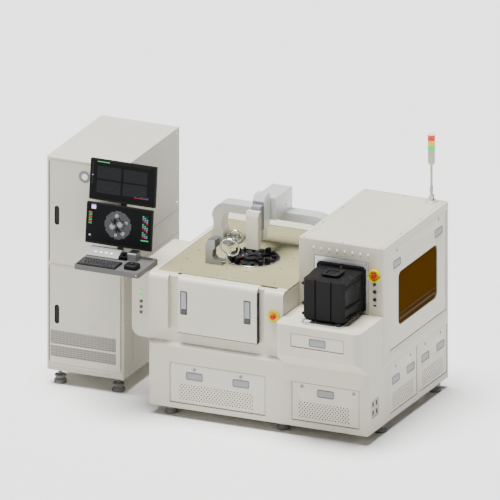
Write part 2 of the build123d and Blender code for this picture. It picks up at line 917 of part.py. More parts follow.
# Microscope carriage: the box that rides on the bridge, with the neck plate in front of it.
def scope_carriage():
    back = scope_back()
    front = back - scope_box[1]
    low = bridge_top + seat_gap
    body = block(scope_box_span(), (front, back), (low, low + scope_box[2]))
    body = chamfer(body.edges().filter_by(Axis.Y).sort_by(Axis.Z)[-2:], 4)
    neck_x = (scope_right - neck_width - 6, scope_right - 6)
    body += block(neck_x, (neck_front(), front + 1), (low - 26, low + scope_box[2] - 20))
    body += block(scope_box_span(), (front, front + 120), (low - 8, low))
    return body - rod(9, (scope_box_right + 1, back - 110, low + 60), (-1, 0, 0), 30)


def column_front():
    return neck_front() - column_depth


# Microscope column: chamfered above, with a rail in front and the objective below.
def scope_column():
    front = column_front()
    back = neck_front() - run_gap
    x = (scope_right - scope_width, scope_right)
    low, high = column_span
    outline = [
        (front, low + 8),
        (front, high - column_cut[1]),
        (front + column_cut[0], high),
        (back, high),
        (back, low),
    ]
    body = prism_x(outline, x)
    body += block((x[0] + 12, x[1] - 8), (front - rail_depth + run_gap, front), rail_span)
    body += block((x[0] + 14, x[1] - 14), (front + 20, back - 15), objective_block)
    middle_x = (x[0] + x[1]) / 2
    body += upright(objective_radius, middle_x, front + 20, (objective_bottom + 34, low + 12))
    tip = Cone(12, objective_radius - 3, 34)
    return body + Pos(middle_x, front + 20, objective_bottom + 17) * tip


# Front module: a slim upright case on the rail, chamfered along its top.
def scope_module():
    front = column_front() - rail_depth - module_depth
    x = (scope_right - module_width, scope_right)
    low, high = module_span
    body = block(x, (front, front + module_depth), (low, high))
    top_edge = body.edges().filter_by(Axis.X).sort_by(Axis.Z)[-2:].sort_by(Axis.Y)[0]
    body = chamfer(top_edge, module_cut[1], module_cut[0])
    return fillet(body.edges().filter_by(Axis.Z).sort_by(Axis.Y)[:2], 5)


def unit(vector):
    length = sum(v * v for v in vector) ** 0.5
    return tuple(v / length for v in vector)


def along(point, direction, distance):
    return tuple(p + d * distance for p, d in zip(point, direction))


# Wheel bracket: a C-shaped casting whose upper arm reaches between the two wheels to the shaft's boss.
def wheel_bracket():
    axis = unit(wheel_axis)
    x0 = bracket_left
    y = (bracket_front, bracket_front + bracket_depth)
    outline = [
        (x0, table_top),
        (x0 + 130, table_top),
        (x0 + 130, table_top + 26),
        (x0 + 74, table_top + 34),
        (x0 + 56, table_top + 56),
        (x0 + 58, table_top + 104),
        (x0 + 74, table_top + 122),
        (x0 + 74, table_top + bracket_height),
        (x0 + 18, table_top + bracket_height),
        (x0, table_top + bracket_height - 40),
    ]
    body = prism_y(outline, y)
    boss_back = along(wheel_centre, axis, -wheel_spacing / 2 - wheel_boss_length / 2)
    middle = along(wheel_centre, axis, -wheel_spacing / 2)
    arm_y = (middle[1] - 18, middle[1] + 18)
    body += block((x0 + 30, x0 + 74), (y[1] - 1, arm_y[1]), (table_top + 122, table_top + bracket_height - 6))
    body += block((x0 + 30, middle[0]), arm_y, (middle[2] - 15, middle[2] + 15))
    body += rod(wheel_boss_radius, boss_back, axis, wheel_boss_length)
    body -= rod(wheel_shaft + bore_gap, along(boss_back, axis, -1), axis, wheel_boss_length + 2)
    return body


def spoked_wheel(centre, radius):
    # One rim with its hub and three flat spokes.
    axis = unit(wheel_axis)
    plane = Plane(origin=centre, z_dir=axis)
    wheel = plane * Torus(radius, wheel_rim)
    wheel += rod(18, along(centre, axis, -10), axis, 20)
    for step in range(3):
        spoke = Rot(0, 0, 120 * step) * Pos(radius / 2 + 5, 0, 0) * Box(radius - 10, 12, 8)
        wheel += plane * spoke
    return wheel


# Twin wheel: both wheels and the shaft between them turn as one.
def twin_wheel():
    axis = unit(wheel_axis)
    rear = along(wheel_centre, axis, -wheel_spacing)
    body = spoked_wheel(wheel_centre, wheel_radius) + spoked_wheel(rear, rear_wheel_radius)
    return body + rod(wheel_shaft, rear, axis, wheel_spacing)


# Load port: plate, shutter, docking plate and the wafer pod.
def port_plate():
    y = (loader_front + face_recess, loader_front + face_recess + port_plate_thick)
    body = block(port_plate_span, y, (shelf_height, port_plate_top))
    body -= block(port_open_span, (y[0] - 1, y[1] + 1), port_open_height)
    return chamfer(body.edges().filter_by(Axis.X).sort_by(Axis.Y)[:2].sort_by(Axis.Z)[-1], 1.0)


def port_shutter():
    y = loader_front + skin + run_gap
    x = (port_open_span[0] - shutter_lap, port_open_span[1] + shutter_lap)
    z = (port_open_height[0] - shutter_lap, port_open_height[1] + shutter_lap)
    return round_block(x, (y, y + shutter_thick), z, 10, Axis.Y)


def docking_plate():
    low = shelf_height + seat_gap
    half = dock_width / 2
    body = block((foup_middle - half, foup_middle + half), (dock_front, dock_back), (low, low + dock_thick))
    body = chamfer(body.edges().filter_by(Axis.Z).sort_by(Axis.Y)[:2], 18)
    top = low + dock_thick
    for x, y in ((foup_middle, 190), (foup_middle - 110, -20), (foup_middle + 110, -20)):
        body += upright(dock_pin, x, y, (top, foup_bottom - seat_gap))
    return body


def foup_outline(inset=0.0):
    # Plan of the pod: broad at its door flange, drawn in towards the front, with cut corners.
    half_back = foup_rear_width / 2 - inset
    half_front = foup_front_width / 2 - inset
    back = loader_front - foup_flange_thick
    front = loader_front - foup_depth + inset
    right = [(half_back, back), (half_back, back - 118), (half_front, back - 200), (half_front, front + 26), (half_front - 20, front)]
    left = [(-x, y) for x, y in reversed(right)]
    return [(foup_middle + x, y) for x, y in right + left]


def wafer_pod():
    rear = loader_front - 0.5
    back = rear - foup_flange_thick
    body = prism_z(foup_outline(), (foup_bottom + 8, foup_top))
    body += prism_z(foup_outline(8), (foup_bottom, foup_bottom + 8))
    width, height = foup_flange
    flange_z = (foup_top + 27 - height, foup_top + 27)
    flange = round_block((foup_middle - width / 2, foup_middle + width / 2), (back, rear), flange_z, 26, Axis.Y)
    body += flange
    front = loader_front - foup_depth
    for side in (-1, 1):
        x = foup_middle + side * 62
        body -= block((x - 5, x + 5), (front - 1, front + 12), (foup_bottom - 1, foup_top + 1))
        for z in (1185, 1034, 955):
            wall = foup_middle + side * (foup_front_width / 2 - 1)
            tip = foup_middle + side * (foup_front_width / 2 + 22)
            rail = prism_y([(wall, z - 14), (tip, z), (wall, z + 14)], (front + 26, back - 60))
            body += rail
    for x in (-46, 46):
        body += block((foup_middle + x - 5, foup_middle + x + 5), (60, 180), (foup_top, foup_top + 12))
    body += block((foup_middle - 44, foup_middle + 44), (76, 164), (foup_top, foup_top + 12))
    top = block((foup_middle - 71, foup_middle + 71), (49, 191), (foup_top + 12, foup_top + 20))
    top = chamfer(top.edges().filter_by(Axis.Z), 16)
    top -= block((foup_middle - 40, foup_middle + 40), (80, 160), (foup_top + 14, foup_top + 21))
    body += top
    half = foup_rear_width / 2 - 14
    narrow = foup_front_width / 2 - 14
    cavity = [
        (foup_middle - half, rear + 1),
        (foup_middle - half, back - 124),
        (foup_middle - narrow, back - 196),
        (foup_middle - narrow, front + 40),
        (foup_middle + narrow, front + 40),
        (foup_middle + narrow, back - 196),
        (foup_middle + half, back - 124),
        (foup_middle + half, rear + 1),
    ]
    body -= prism_z(cavity, (foup_bottom + 14, foup_top - 6))
    return body + pod_shelves(front + 46, back - 124)


def pod_shelves(front, back):
    # The comb of thin shelves along each inner side that holds the wafers.
    shelves = None
    for step in range(pod_slots):
        z = foup_bottom + 34 + step * pod_slot_pitch
        for side in (-1, 1):
            outer = foup_middle + side * (foup_front_width / 2 - 13)
            inner = foup_middle + side * (foup_front_width / 2 - 30)
            shelf = block(sorted((outer, inner)), (front, back - 74), (z, z + 2.4))
            shelves = shelf if shelves is None else shelves + shelf
    return shelves


# Wafer handler: deck and base tube, lift column, turntable and sliding blade.
def handler_deck():
    floor = base_top + skin
    left, right = -loader_width + skin, -skin
    body = block((left + 20, right - 40), (420, base_depth - skin - 30), (floor, floor + 60))
    body += upright(handler_base_radius, handler_x, handler_y, (floor + 60, handler_base_top))
    body -= upright(handler_column_radius + bore_gap, handler_x, handler_y, (floor + 66, handler_base_top + 1))
    body += block((handler_x - 90, handler_x + 90), (1180, 1340), (floor + 60, 820))
    body += upright(52, handler_x, 1260, (820, 838))
    ledge = block((left, right - 60), (base_depth - skin - 90, base_depth - skin), (700, 760))
    return body + ledge


def handler_column():
    low = base_top + skin + 66 + seat_gap
    body = upright(handler_column_radius, handler_x, handler_y, (low, handler_base_top + 30))
    return body + upright(72, handler_x, handler_y, (handler_base_top + 18, handler_base_top + 34))


def turntable_low():
    return handler_base_top + 34 + seat_gap


def turntable():
    low = turntable_low()
    half_w, half_l = turntable_width / 2, turntable_length / 2
    body = round_block(
        (handler_x - half_w, handler_x + half_w), (handler_y - half_l, handler_y + half_l), (low, low + turntable_thick), 20
    )
    top = low + turntable_thick
    body += block((handler_x - 12, handler_x + 12), (handler_y - half_l + 20, handler_y + half_l - 20), (top, top + 14))
    return body


def blade():
    top = turntable_low() + turntable_thick
    low = top + seat_gap
    body = None
    for side in (-1, 1):
        inner = handler_x + side * (12 + run_gap)
        cheek = sorted((inner, inner + side * 24))
        piece = block(cheek, (handler_y - 40, handler_y + 70), (low, top + 26))
        body = piece if body is None else body + piece
    z = (top + 14 + run_gap, top + 26)
    body += block((handler_x - 37, handler_x + 37), (handler_y - 40, handler_y + 70), z)
    tip = handler_y - blade_reach
    fork = block((handler_x - 34, handler_x + 34), (tip + 120, handler_y + 40), (z[1], z[1] + blade_thick))
    for side in (-1, 1):
        middle = handler_x + side * 48
        fork += block((middle - 16, middle + 16), (tip, tip + 140), (z[1], z[1] + blade_thick))
    fork += block((handler_x - 64, handler_x + 64), (tip + 110, tip + 160), (z[1], z[1] + blade_thick))
    return body + fork


# Covers, each with its paddles
def covers():
    made = {}
    width, height = span_size(front_left_span), span_size(front_left_height)
    inset = front_left_paddle_inset
    places = [(inset, height - paddle_drop), (width - inset, height - paddle_drop)]
    body, grips = latched_cover(width, height, places, ((76, width - 66), (32, 168)))
    place = on_front(front_left_span[0], front_left_height[0])
    made["front_cover_left"], made["front_paddles_left"] = place * body, place * grips
    width, height = span_size(front_right_span), span_size(front_right_height)
    body, grips = latched_cover(width, height, [(width / 2, height - 63)], ((56, width - 46), (32, 160)))
    place = on_front(front_right_span[0], front_right_height[0])
    made["front_cover_right"], made["front_paddle_right"] = place * body, place * grips
    for name, span in (("side_cover_front", side_front_span), ("side_cover_rear", side_rear_span)):
        width, height = span_size(span), span_size(side_height)
        inset = side_paddle_inset
        places = [(inset, height - side_paddle_drop), (width - inset, height - side_paddle_drop)]
        body, grips = latched_cover(width, height, places, ((50, width - 40), (28, 160)))
        place = on_side(span[0], side_height[0])
        made[name] = place * body
        made[name.replace("cover", "paddles")] = place * grips
    return made


def window_panel():
    width, height = span_size(window_panel_span), span_size(window_panel_height)
    inset, z = window_paddle_inset, span_size(window_panel_height) - window_paddle_drop
    body, grips = latched_cover(width, height, [(inset, z), (width - inset, z)])
    x = [v - window_panel_span[0] for v in window_span]
    z = [v - window_panel_height[0] for v in window_height]
    body -= round_block(x, (-1, leaf + 1), z, window_corner, Axis.Y)
    lap = pane_lap
    pane_x, pane_z = (x[0] - lap, x[1] + lap), (z[0] - lap, z[1] + lap)
    pane = round_block(pane_x, (leaf - pane_thick, leaf), pane_z, window_corner, Axis.Y)
    place = on_side(window_panel_span[0], window_panel_height[0])
    return place * (body - pane), place * grips, place * pane


def shelf_cover():
    width, height = span_size(shelf_cover_span), span_size(shelf_cover_height)
    body = cover_leaf(width, height)
    cup, pocket = paddle_cup(width / 2, height / 2)
    body = body + cup - pocket
    place = on_front(shelf_cover_span[0], shelf_cover_height[0], -shelf_reach)
    return place * body, place * paddle(width / 2, height / 2)


# Panel fittings
def indicator_lamps():
    lamps = []
    for step in range(led_count):
        lamps.append(rod(led_radius, (led_first + step * led_pitch, loader_front, led_height), (0, -1, 0), 3))
    for step in range(pod_lamp_count):
        z = pod_lamp_top - step * pod_lamp_pitch
        lamps.append(rod(pod_lamp_radius, ((pod_left + left_x) / 2, apron_recess, z), (0, -1, 0), 5))
    return Compound(children=lamps)


def estop_places():
    return ((estop_loader[0], loader_front, estop_loader[1]), (estop_prober[0], -raised_front, estop_prober[1]))


def estop_guards():
    guards = []
    for (x, y, z), walled in zip(estop_places(), (True, False)):
        plate = rod(estop_radius, (x, y, z), (0, -1, 0), 6)
        plate -= rod(estop_stem + bore_gap, (x, y + 1, z), (0, -1, 0), 10)
        if walled:
            wall = rod(estop_radius, (x, y - 6, z), (0, -1, 0), estop_height - 6)
            wall -= rod(estop_radius - estop_wall, (x, y, z), (0, -1, 0), estop_height + 1)
            wall -= block((x - 60, x + 60), (y - estop_height - 1, y - 10), (z - 13, z + 13))
            plate += wall
        guards.append(plate)
    return Compound(children=guards)


def estop_button(place):
    x, y, z = place
    stem = rod(estop_stem, (x, y - seat_gap, z), (0, -1, 0), 16)
    head = rod(mushroom_radius, (x, y - 14, z), (0, -1, 0), 16)
    rim = head.faces().sort_by(Axis.Y)[0].edges()
    return stem + fillet(rim, 7)


def selector_knob():
    x, z = estop_loader[0], selector_height
    body = rod(selector_radius, (x, loader_front - seat_gap, z), (0, -1, 0), 8)
    return body + block((x - 3.5, x + 3.5), (loader_front - 22, loader_front - 8), (z - 10, z + 10))


def panel_button(z):
    x = estop_loader[0]
    return rod(button_radius, (x, loader_front - seat_gap - button_travel, z), (0, -1, 0), 6)


def panel_bezels():
    # Collars that the knob and the two buttons sit in.
    collars = []
    x = estop_loader[0]
    for z in button_heights:
        collar = rod(button_radius + 4, (x, loader_front, z), (0, -1, 0), 5)
        collars.append(collar - rod(button_radius + run_gap, (x, loader_front + 1, z), (0, -1, 0), 8))
    return Compound(children=collars)


# Signal tower: a foot disc with a fork, and a mast that folds down in it.
def tower_foot():
    z = loader_top
    hinge = z + tower_hinge_height
    body = upright(tower_disc, tower_x, tower_y, (z, z + 8))
    body = chamfer(body.faces().sort_by(Axis.Z)[-1].edges(), 2)
    for side in (-1, 1):
        y = tower_y + side * 15
        cheek = block((tower_x - 16, tower_x + 16), (y - 4, y + 4), (z + 8, hinge))
        body += cheek + rod(16, (tower_x, y - 4, hinge), (0, 1, 0), 8)
    return body + rod(5, (tower_x, tower_y - 19, hinge), (0, 1, 0), 38)


def tower_mast():
    hinge = loader_top + tower_hinge_height
    knuckle = rod(14, (tower_x, tower_y - 10, hinge), (0, 1, 0), 20)
    body = knuckle + upright(9.5, tower_x, tower_y, (hinge, hinge + 40))
    body -= rod(5 + bore_gap, (tower_x, tower_y - 11, hinge), (0, 1, 0), 22)
    body += upright(tower_pole_radius, tower_x, tower_y, (hinge + 30, loader_top + tower_pole_top))
    z = loader_top + tower_pole_top
    body += upright(13, tower_x, tower_y, (hinge + 34, hinge + 78))
    cone = Cone(tower_pole_radius + 2, tower_head_radius, 22)
    body += Pos(tower_x, tower_y, z + 11) * cone
    return body + upright(tower_head_radius, tower_x, tower_y, (z + 22, z + tower_head))


def tower_lamps():
    z = loader_top + tower_pole_top + tower_head
    lamps = []
    for step in range(tower_lamp_count):
        low = z + step * tower_lamp
        ring = upright(tower_head_radius + 1, tower_x, tower_y, (low, low + tower_lamp - 2))
        lamps.append(ring + upright(tower_head_radius - 3, tower_x, tower_y, (low + tower_lamp - 2, low + tower_lamp)))
    cap = upright(tower_head_radius, tower_x, tower_y, (z + tower_lamp * tower_lamp_count, z + tower_lamp * tower_lamp_count + 10))
    lamps.append(chamfer(cap.faces().sort_by(Axis.Z)[-1].edges(), 4))
    return Compound(children=lamps)


# Tray: a shallow pan turned over, with the hub that turns on the post.
def tray():
    x, y = (tray_left, tray_right), (tray_front, tray_back)
    body = round_block(x, y, (tray_top - tray_lip, tray_top), 10)
    body -= block(
        (x[0] + tray_skin, x[1] - tray_skin),
        (y[0] + tray_skin, y[1] - tray_skin),
        (tray_top - tray_lip - 1, tray_top - tray_skin),
    )
    body += upright(post_radius + 12, post_x, post_y, (table_top + seat_gap, tray_top - tray_skin))
    body -= upright(post_radius + bore_gap, post_x, post_y, (table_top, tray_top - tray_skin))
    for dx, dy in ((-30, 62), (10, 66), (-4, 40)):
        body -= upright(5, post_x + dx, post_y + dy, (tray_top - tray_skin - 1, tray_top + 1))
    return body


# Operator console: a wedge with a sloped lamp face.
def lamp_console():
    y0, y1 = console_depth
    outline = [(y0, tray_top), (y0, tray_top + 8), (y0 + 62, tray_top + console_rise), (y1, tray_top + console_rise), (y1, tray_top)]
    body = prism_x(outline, console_span)
    return body + console_lamps()


def console_lamps():
    y0 = console_depth[0]
    slope = unit((0, -(console_rise - 8), 62))
    lamps = None
    for step in range(4):
        x = console_span[0] + 62 + step * 41
        centre = (x, y0 + 31, tray_top + 8 + (console_rise - 8) / 2)
        lamp = rod(console_lamp_radius, along(centre, slope, -2), slope, 5)
        lamps = lamp if lamps is None else lamps + lamp
    return lamps


def keyboard():
    x0, y0 = keyboard_corner
    width, depth, height = keyboard_size
    outline = [(y0, tray_top), (y0, tray_top + 7), (y0 + depth, tray_top + height - 6), (y0 + depth, tray_top)]
    body = prism_x(outline, (x0, x0 + width))
    rows, columns = 5, 14
    pitch_x, pitch_y = (width - 16) / columns, (depth - 16) / rows
    rise = (height - 13) / depth
    for row in range(rows):
        y = y0 + 8 + pitch_y * (row + 0.5)
        top = tray_top + 7 + rise * (y - y0) + 5
        for column in range(columns):
            x = x0 + 8 + pitch_x * (column + 0.5)
            key = block((x - pitch_x / 2 + 1.2, x + pitch_x / 2 - 1.2), (y - pitch_y / 2 + 1.5, y + pitch_y / 2 - 1.5), (top - 9, top))
            body += key
    return body


# Trackball: a low rounded case with a socket for its ball.
def trackball_case():
    x, y = mouse_centre
    width, depth, height = mouse_size
    body = block((x - width / 2, x + width / 2), (y - depth / 2, y + depth / 2), (tray_top, tray_top + height))
    body = fillet(body.edges().filter_by(Axis.Z), 24)
    body = fillet(body.faces().sort_by(Axis.Z)[-1].edges(), 12)
    socket = Pos(x, y, tray_top + height - 8) * Sphere(ball_radius + run_gap)
    return body - socket


def track_ball():
    x, y = mouse_centre
    return Pos(x, y, tray_top + mouse_size[2] - 8) * Sphere(ball_radius)


# Joystick: a base with a ball cup, and the stick that tilts in it.
def joystick_base():
    x0 = console_span[1]
    x1 = x0 + joystick_base_width
    base = block((x0, x1), (console_depth[0] + 6, console_depth[1]), (tray_top, tray_top + 26))
    base = fillet(base.edges().filter_by(Axis.Z), 8)
    cup = Pos((x0 + x1) / 2, joystick_y, tray_top + 26) * Sphere(12 + run_gap)
    return base - cup


# Pedestal: the upright case beside the joystick, below the screens.
def pedestal():
    body = block(pedestal_span, pedestal_depth, (tray_top, tray_top + pedestal_height))
    return chamfer(body.edges().filter_by(Axis.X).sort_by(Axis.Z)[-2:].sort_by(Axis.Y)[0], 8)


def joystick():
    x0 = console_span[1] + joystick_base_width / 2
    y = joystick_y
    z = tray_top + 26
    body = Pos(x0, y, z) * Sphere(12)
    body -= block((x0 - 20, x0 + 20), (y - 20, y + 20), (z - 20, z - 7))
    body += upright(6, x0, y, (z, z + 12))
    knob = Pos(x0, y, z + 17) * Sphere(13)
    for step in range(4):
        knob += Pos(x0, y, z + 17) * Rot(0, 0, 90 * step + 45) * Pos(11, 0, 0) * Sphere(8)
    return body + knob


# Screens: a slim case with a recessed face, and the boss of its tilt pivot behind.
def lean(shape, foot):
    # Leans a piece drawn upright at the origin back by the screen's angle, and sets it on its place.
    return Pos(screen_middle, foot[0], foot[1]) * Rot(-screen_lean, 0, 0) * shape


def screen():
    half = screen_width / 2
    body = round_block((-half, half), (0, screen_thick - 8), (0, screen_height), 6, Axis.Y)
    back = round_block((-half * 0.7, half * 0.7), (0, screen_thick), (40, screen_height - 40), 20, Axis.Y)
    face = block((-half + 9, half - 9), (-1, 1.2), (14, screen_height - 9))
    middle = screen_height / 2
    body = body + back - face
    for side in (-1, 1):
        ear = block((side * 22 - 5, side * 22 + 5), (screen_thick, screen_thick + screen_pivot), (middle - 12, middle + 12))
        ear += rod(12, (side * 22 - 5, screen_thick + screen_pivot, middle), (1, 0, 0), 10)
        body += ear
    return body


def pivot_place(foot):
    # The tilt pivot's place in Y and Z.
    reach = screen_thick + screen_pivot
    rise = screen_height / 2
    angle = radians(screen_lean)
    return (foot[0] + reach * cos(angle) + rise * sin(angle), foot[1] - reach * sin(angle) + rise * cos(angle))


# Mast: a leaning bar that stands on the tray and carries a fork at each screen's pivot.
def screen_mast():
    half = mast_width / 2
    low_pivot, high_pivot = pivot_place(screen_lower), pivot_place(screen_upper)
    slope = (high_pivot[0] - low_pivot[0]) / (high_pivot[1] - low_pivot[1])
    offset = 16

    def back_at(z):
        return low_pivot[0] + offset + slope * (z - low_pivot[1])

    top = high_pivot[1] + 30
    outline = [
        (back_at(tray_top), tray_top),
        (back_at(top), top),
        (back_at(top) + mast_thick - 4, top),
        (back_at(tray_top) + mast_thick, tray_top),
    ]
    body = prism_x(outline, (screen_middle - half / 2, screen_middle + half / 2))
    foot_y = back_at(tray_top)
    body += block((screen_middle - half, screen_middle + half), (console_depth[1] + 1, tray_back), (tray_top, tray_top + 8))
    for y, z in (low_pivot, high_pivot):
        lug = block((screen_middle - 16.4, screen_middle + 16.4), (y, y + offset + 4), (z - 10, z + 10))
        lug += rod(10, (screen_middle - 16.4, y, z), (1, 0, 0), 32.8)
        body += lug
    return body


nodes = {
    "base_housing": base_housing(),
    "prober_housing": prober_housing(),
    "loader_housing": loader_housing(),
    "shelf_housing": shelf_housing(),
    "console_pod": console_pod(),
    "levelling_feet": levelling_feet(),
    "table_plate": table_plate(),
    "probe_card": together(probe_card(), card_ring()),
    "bridge": bridge(),
    "wheel_bracket": wheel_bracket(),
    "twin_wheel": twin_wheel(),
    "port_plate": port_plate(),
    "panel_fittings": together(indicator_lamps(), estop_guards(), panel_bezels()),
    "stage_base": stage_base(),
    "handler_deck": handler_deck(),
    "tower_foot": tower_foot(),
    "cabinet_body": cabinet_body(),
    "rack_units": rack_units(),
    "stage_door": together(stage_door(), door_locks()),
    "door_levers": door_levers(),
    "port_shutter": port_shutter(),
    "docking_plate": docking_plate(),
    "wafer_pod": wafer_pod(),
    "handler_column": handler_column(),
    "turntable": turntable(),
    "blade": blade(),
    "y_carriage": y_carriage(),
    "x_carriage": x_carriage(),
    "lift_column": lift_column(),
    "chuck": chuck(),
    "scope_carriage": scope_carriage(),
    "scope_column": scope_column(),
    "scope_module": scope_module(),
    "signal_tower": together(tower_mast(), tower_lamps()),
    "selector_knob": selector_knob(),
    "tray": together(tray(), lamp_console(), joystick_base(), pedestal()),
    "keyboard": keyboard(),
    "trackball": together(trackball_case(), track_ball()),
    "joystick": joystick(),
    "screen_mast": screen_mast(),
    "lower_screen": lean(screen(), screen_lower),
    "upper_screen": lean(screen(), screen_upper),
}
nodes.update(covers())
panel, panel_grips, pane = window_panel()
nodes["window_panel"] = panel
nodes["window_paddles"] = panel_grips
nodes["window_pane"] = pane
nodes["shelf_cover"] = together(*shelf_cover())
for name, place in zip(("estop_button_loader", "estop_button_prober"), estop_places()):
    nodes[name] = estop_button(place)
for name, z in zip(("panel_button_upper", "panel_button_lower"), button_heights):
    nodes[name] = panel_button(z)
low_bay, high_bay = cabinet_bays()
nodes["cabinet_lower_door"] = cabinet_door(low_bay, 542, ((221, 297), (317, 416)))
disc_y = cabinet_front + face_recess
disc_seat = rod(46, (cabinet_left + 304, disc_y - 1, 1622), (0, 1, 0), 4)
disc = rod(24, (cabinet_left + 304, disc_y + 3.5, 1622), (0, -1, 0), 3.5)
nodes["cabinet_upper_door"] = cabinet_door(high_bay, 1297, ()) - disc_seat + disc

for name, shape in nodes.items():
    save(name, shape)
print(len(nodes), "nodes")
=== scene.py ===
import json
import math
import random

import bmesh
import bpy
from mathutils import Matrix, Vector


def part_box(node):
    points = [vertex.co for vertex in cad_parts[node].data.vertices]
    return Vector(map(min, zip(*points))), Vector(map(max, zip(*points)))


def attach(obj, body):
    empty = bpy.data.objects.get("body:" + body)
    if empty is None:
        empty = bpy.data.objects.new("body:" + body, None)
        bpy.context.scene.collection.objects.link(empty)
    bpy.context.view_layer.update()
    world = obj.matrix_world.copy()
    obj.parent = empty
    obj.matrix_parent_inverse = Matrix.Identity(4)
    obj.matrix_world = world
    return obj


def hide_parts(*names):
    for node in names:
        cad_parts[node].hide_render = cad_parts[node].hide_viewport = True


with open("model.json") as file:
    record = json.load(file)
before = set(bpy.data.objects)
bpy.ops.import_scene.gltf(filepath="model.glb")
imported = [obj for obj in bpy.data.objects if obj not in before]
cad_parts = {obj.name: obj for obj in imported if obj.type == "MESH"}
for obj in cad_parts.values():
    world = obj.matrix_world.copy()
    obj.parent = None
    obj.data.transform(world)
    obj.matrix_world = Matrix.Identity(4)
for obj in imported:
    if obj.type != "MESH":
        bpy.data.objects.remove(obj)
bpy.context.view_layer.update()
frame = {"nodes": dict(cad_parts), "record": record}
bodyOf = {node: body for body, nodes in frame["record"]["behaviour"]["bodies"].items() for node in nodes}
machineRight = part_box("base_housing")[1].x  # places below are given from the lower right front corner
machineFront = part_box("base_housing")[0].y
mm = 0.001
toFront, toRight, upward = (0, -1, 0), (1, 0, 0), (0, 0, 1)


def spot(x, y, z):
    return Vector((machineRight + x * mm, machineFront + y * mm, z * mm))


# the same place the other way, in machine millimetres
def machinePlace(point):
    return Vector(((point.x - machineRight) / mm, (point.y - machineFront) / mm, point.z / mm))


# a socket that can be added, multiplied and so on
class Wire:
    def __init__(self, graph, socket):
        self.graph = graph
        self.socket = socket

    def join(self, operation, other, swapped=False):
        first, second = (other, self) if swapped else (self, other)
        return self.graph.add("ShaderNodeMath", {"operation": operation}, {0: first, 1: second})

    def __add__(self, other):
        return self.join("ADD", other)

    def __radd__(self, other):
        return self.join("ADD", other, True)

    def __sub__(self, other):
        return self.join("SUBTRACT", other)

    def __rsub__(self, other):
        return self.join("SUBTRACT", other, True)

    def __mul__(self, other):
        return self.join("MULTIPLY", other)

    def __rmul__(self, other):
        return self.join("MULTIPLY", other, True)

    def __truediv__(self, other):
        return self.join("DIVIDE", other)

    def __rtruediv__(self, other):
        return self.join("DIVIDE", other, True)

    def above(self, limit):
        return self.join("GREATER_THAN", limit)

    def wrapped(self, period):
        return self.join("FLOORED_MODULO", period)

    def clipped(self, low, high):
        return self.graph.add("ShaderNodeClamp", {}, {0: self, 1: low, 2: high})


# adds nodes to a tree: the settings first, then the values or links of its sockets
class Graph:
    def __init__(self, tree):
        self.tree = tree

    def add(self, kind, settings=None, inputs=None, out=0):
        node = self.tree.nodes.new(kind)
        for key, value in (settings or {}).items():
            setattr(node, key, value)
        for key, value in (inputs or {}).items():
            self.feed(node.inputs[key], value)
        return Wire(self, node.outputs[out])

    def feed(self, socket, value):
        if isinstance(value, Wire):
            self.tree.links.new(value.socket, socket)
        else:
            socket.default_value = value

    # the colours of a Mix node are its sockets 6 and 7, and output 2
    def mixColour(self, mask, first, second, way="MIX"):
        inputs = {0: mask, 6: opaque(first), 7: opaque(second)}
        return self.add("ShaderNodeMix", {"data_type": "RGBA", "blend_type": way}, inputs, 2)


def opaque(colour):
    return colour if isinstance(colour, Wire) else (*colour, 1)


# a surface finish with its own node tree
class Finish(Graph):
    names = {"colour": "Base Color", "rough": "Roughness", "metal": "Metallic", "coat": "Coat Weight",
             "coatRough": "Coat Roughness", "alpha": "Alpha", "glow": "Emission Color",
             "glowPower": "Emission Strength", "gloss": "Specular IOR Level", "normal": "Normal"}

    def __init__(self, name, **fixed):
        self.material = bpy.data.materials.new(name)
        self.material.use_nodes = True
        super().__init__(self.material.node_tree)
        self.surface = self.tree.nodes["Principled BSDF"]
        self.coords = self.add("ShaderNodeTexCoord", {}, {}, "Object")
        for key, value in fixed.items():
            self.set(key, value)

    def set(self, key, value):
        if key in ("colour", "glow"):
            value = opaque(value)
        self.feed(self.surface.inputs[self.names[key]], value)

    def part(self, axis):
        return self.add("ShaderNodeSeparateXYZ", {}, {0: self.coords}, "XYZ".index(axis))

    def stretched(self, scale):
        return self.add("ShaderNodeMapping", {}, {"Vector": self.coords, "Scale": scale})

    def noise(self, scale, detail=2.0, rough=0.5, where=None):
        inputs = {"Vector": where or self.coords, "Scale": scale, "Detail": detail, "Roughness": rough}
        return self.add("ShaderNodeTexNoise", {}, inputs)

    def bump(self, height, strength, depth):
        inputs = {"Strength": strength, "Distance": depth, "Height": height}
        self.set("normal", self.add("ShaderNodeBump", {}, inputs))


def shaded(colour, factor):
    return tuple(min(1, c * factor) for c in colour)


powder = {"clouds": 1.6, "dark": 0.95, "pale": 1.04, "peel": 0.35, "rubGrain": 38.0, "rub": 0.12,
          "lowDarkTop": 0.30, "lowDarkGrain": 9.0, "lowDarkening": 1.1, "lowDarkTone": 0.55, "coatRough": 0.12}


# powder coat: soft clouds in the colour, a fine orange peel, and a patchy darkening towards the floor
def paint(name, colour, rough=0.42, peel=620.0, depth=0.00012, coat=0.0):
    made = Finish(name, coat=coat, coatRough=powder["coatRough"])
    clouds = made.noise(powder["clouds"], 4.0)
    skin = made.noise(peel, 2.0)
    # darker in patches within the lowest 0.3 m, towards the floor
    low = (powder["lowDarkTop"] - made.part("Z")).clipped(0, powder["lowDarkTop"])
    lowDarkening = low * made.noise(powder["lowDarkGrain"], 5.0) * powder["lowDarkening"]
    body = made.mixColour(clouds, shaded(colour, powder["dark"]), shaded(colour, powder["pale"]))
    made.set("colour", made.mixColour(lowDarkening, body, shaded(colour, powder["lowDarkTone"])))
    made.set("rough", rough + (made.noise(powder["rubGrain"], 3.0) - 0.5) * powder["rub"])
    made.bump(skin, powder["peel"], depth)
    return made.material


blasted = {"smudges": 7.0, "lineRough": 0.18, "smudgeRough": 0.14, "relief": 0.25, "depth": 0.00008}


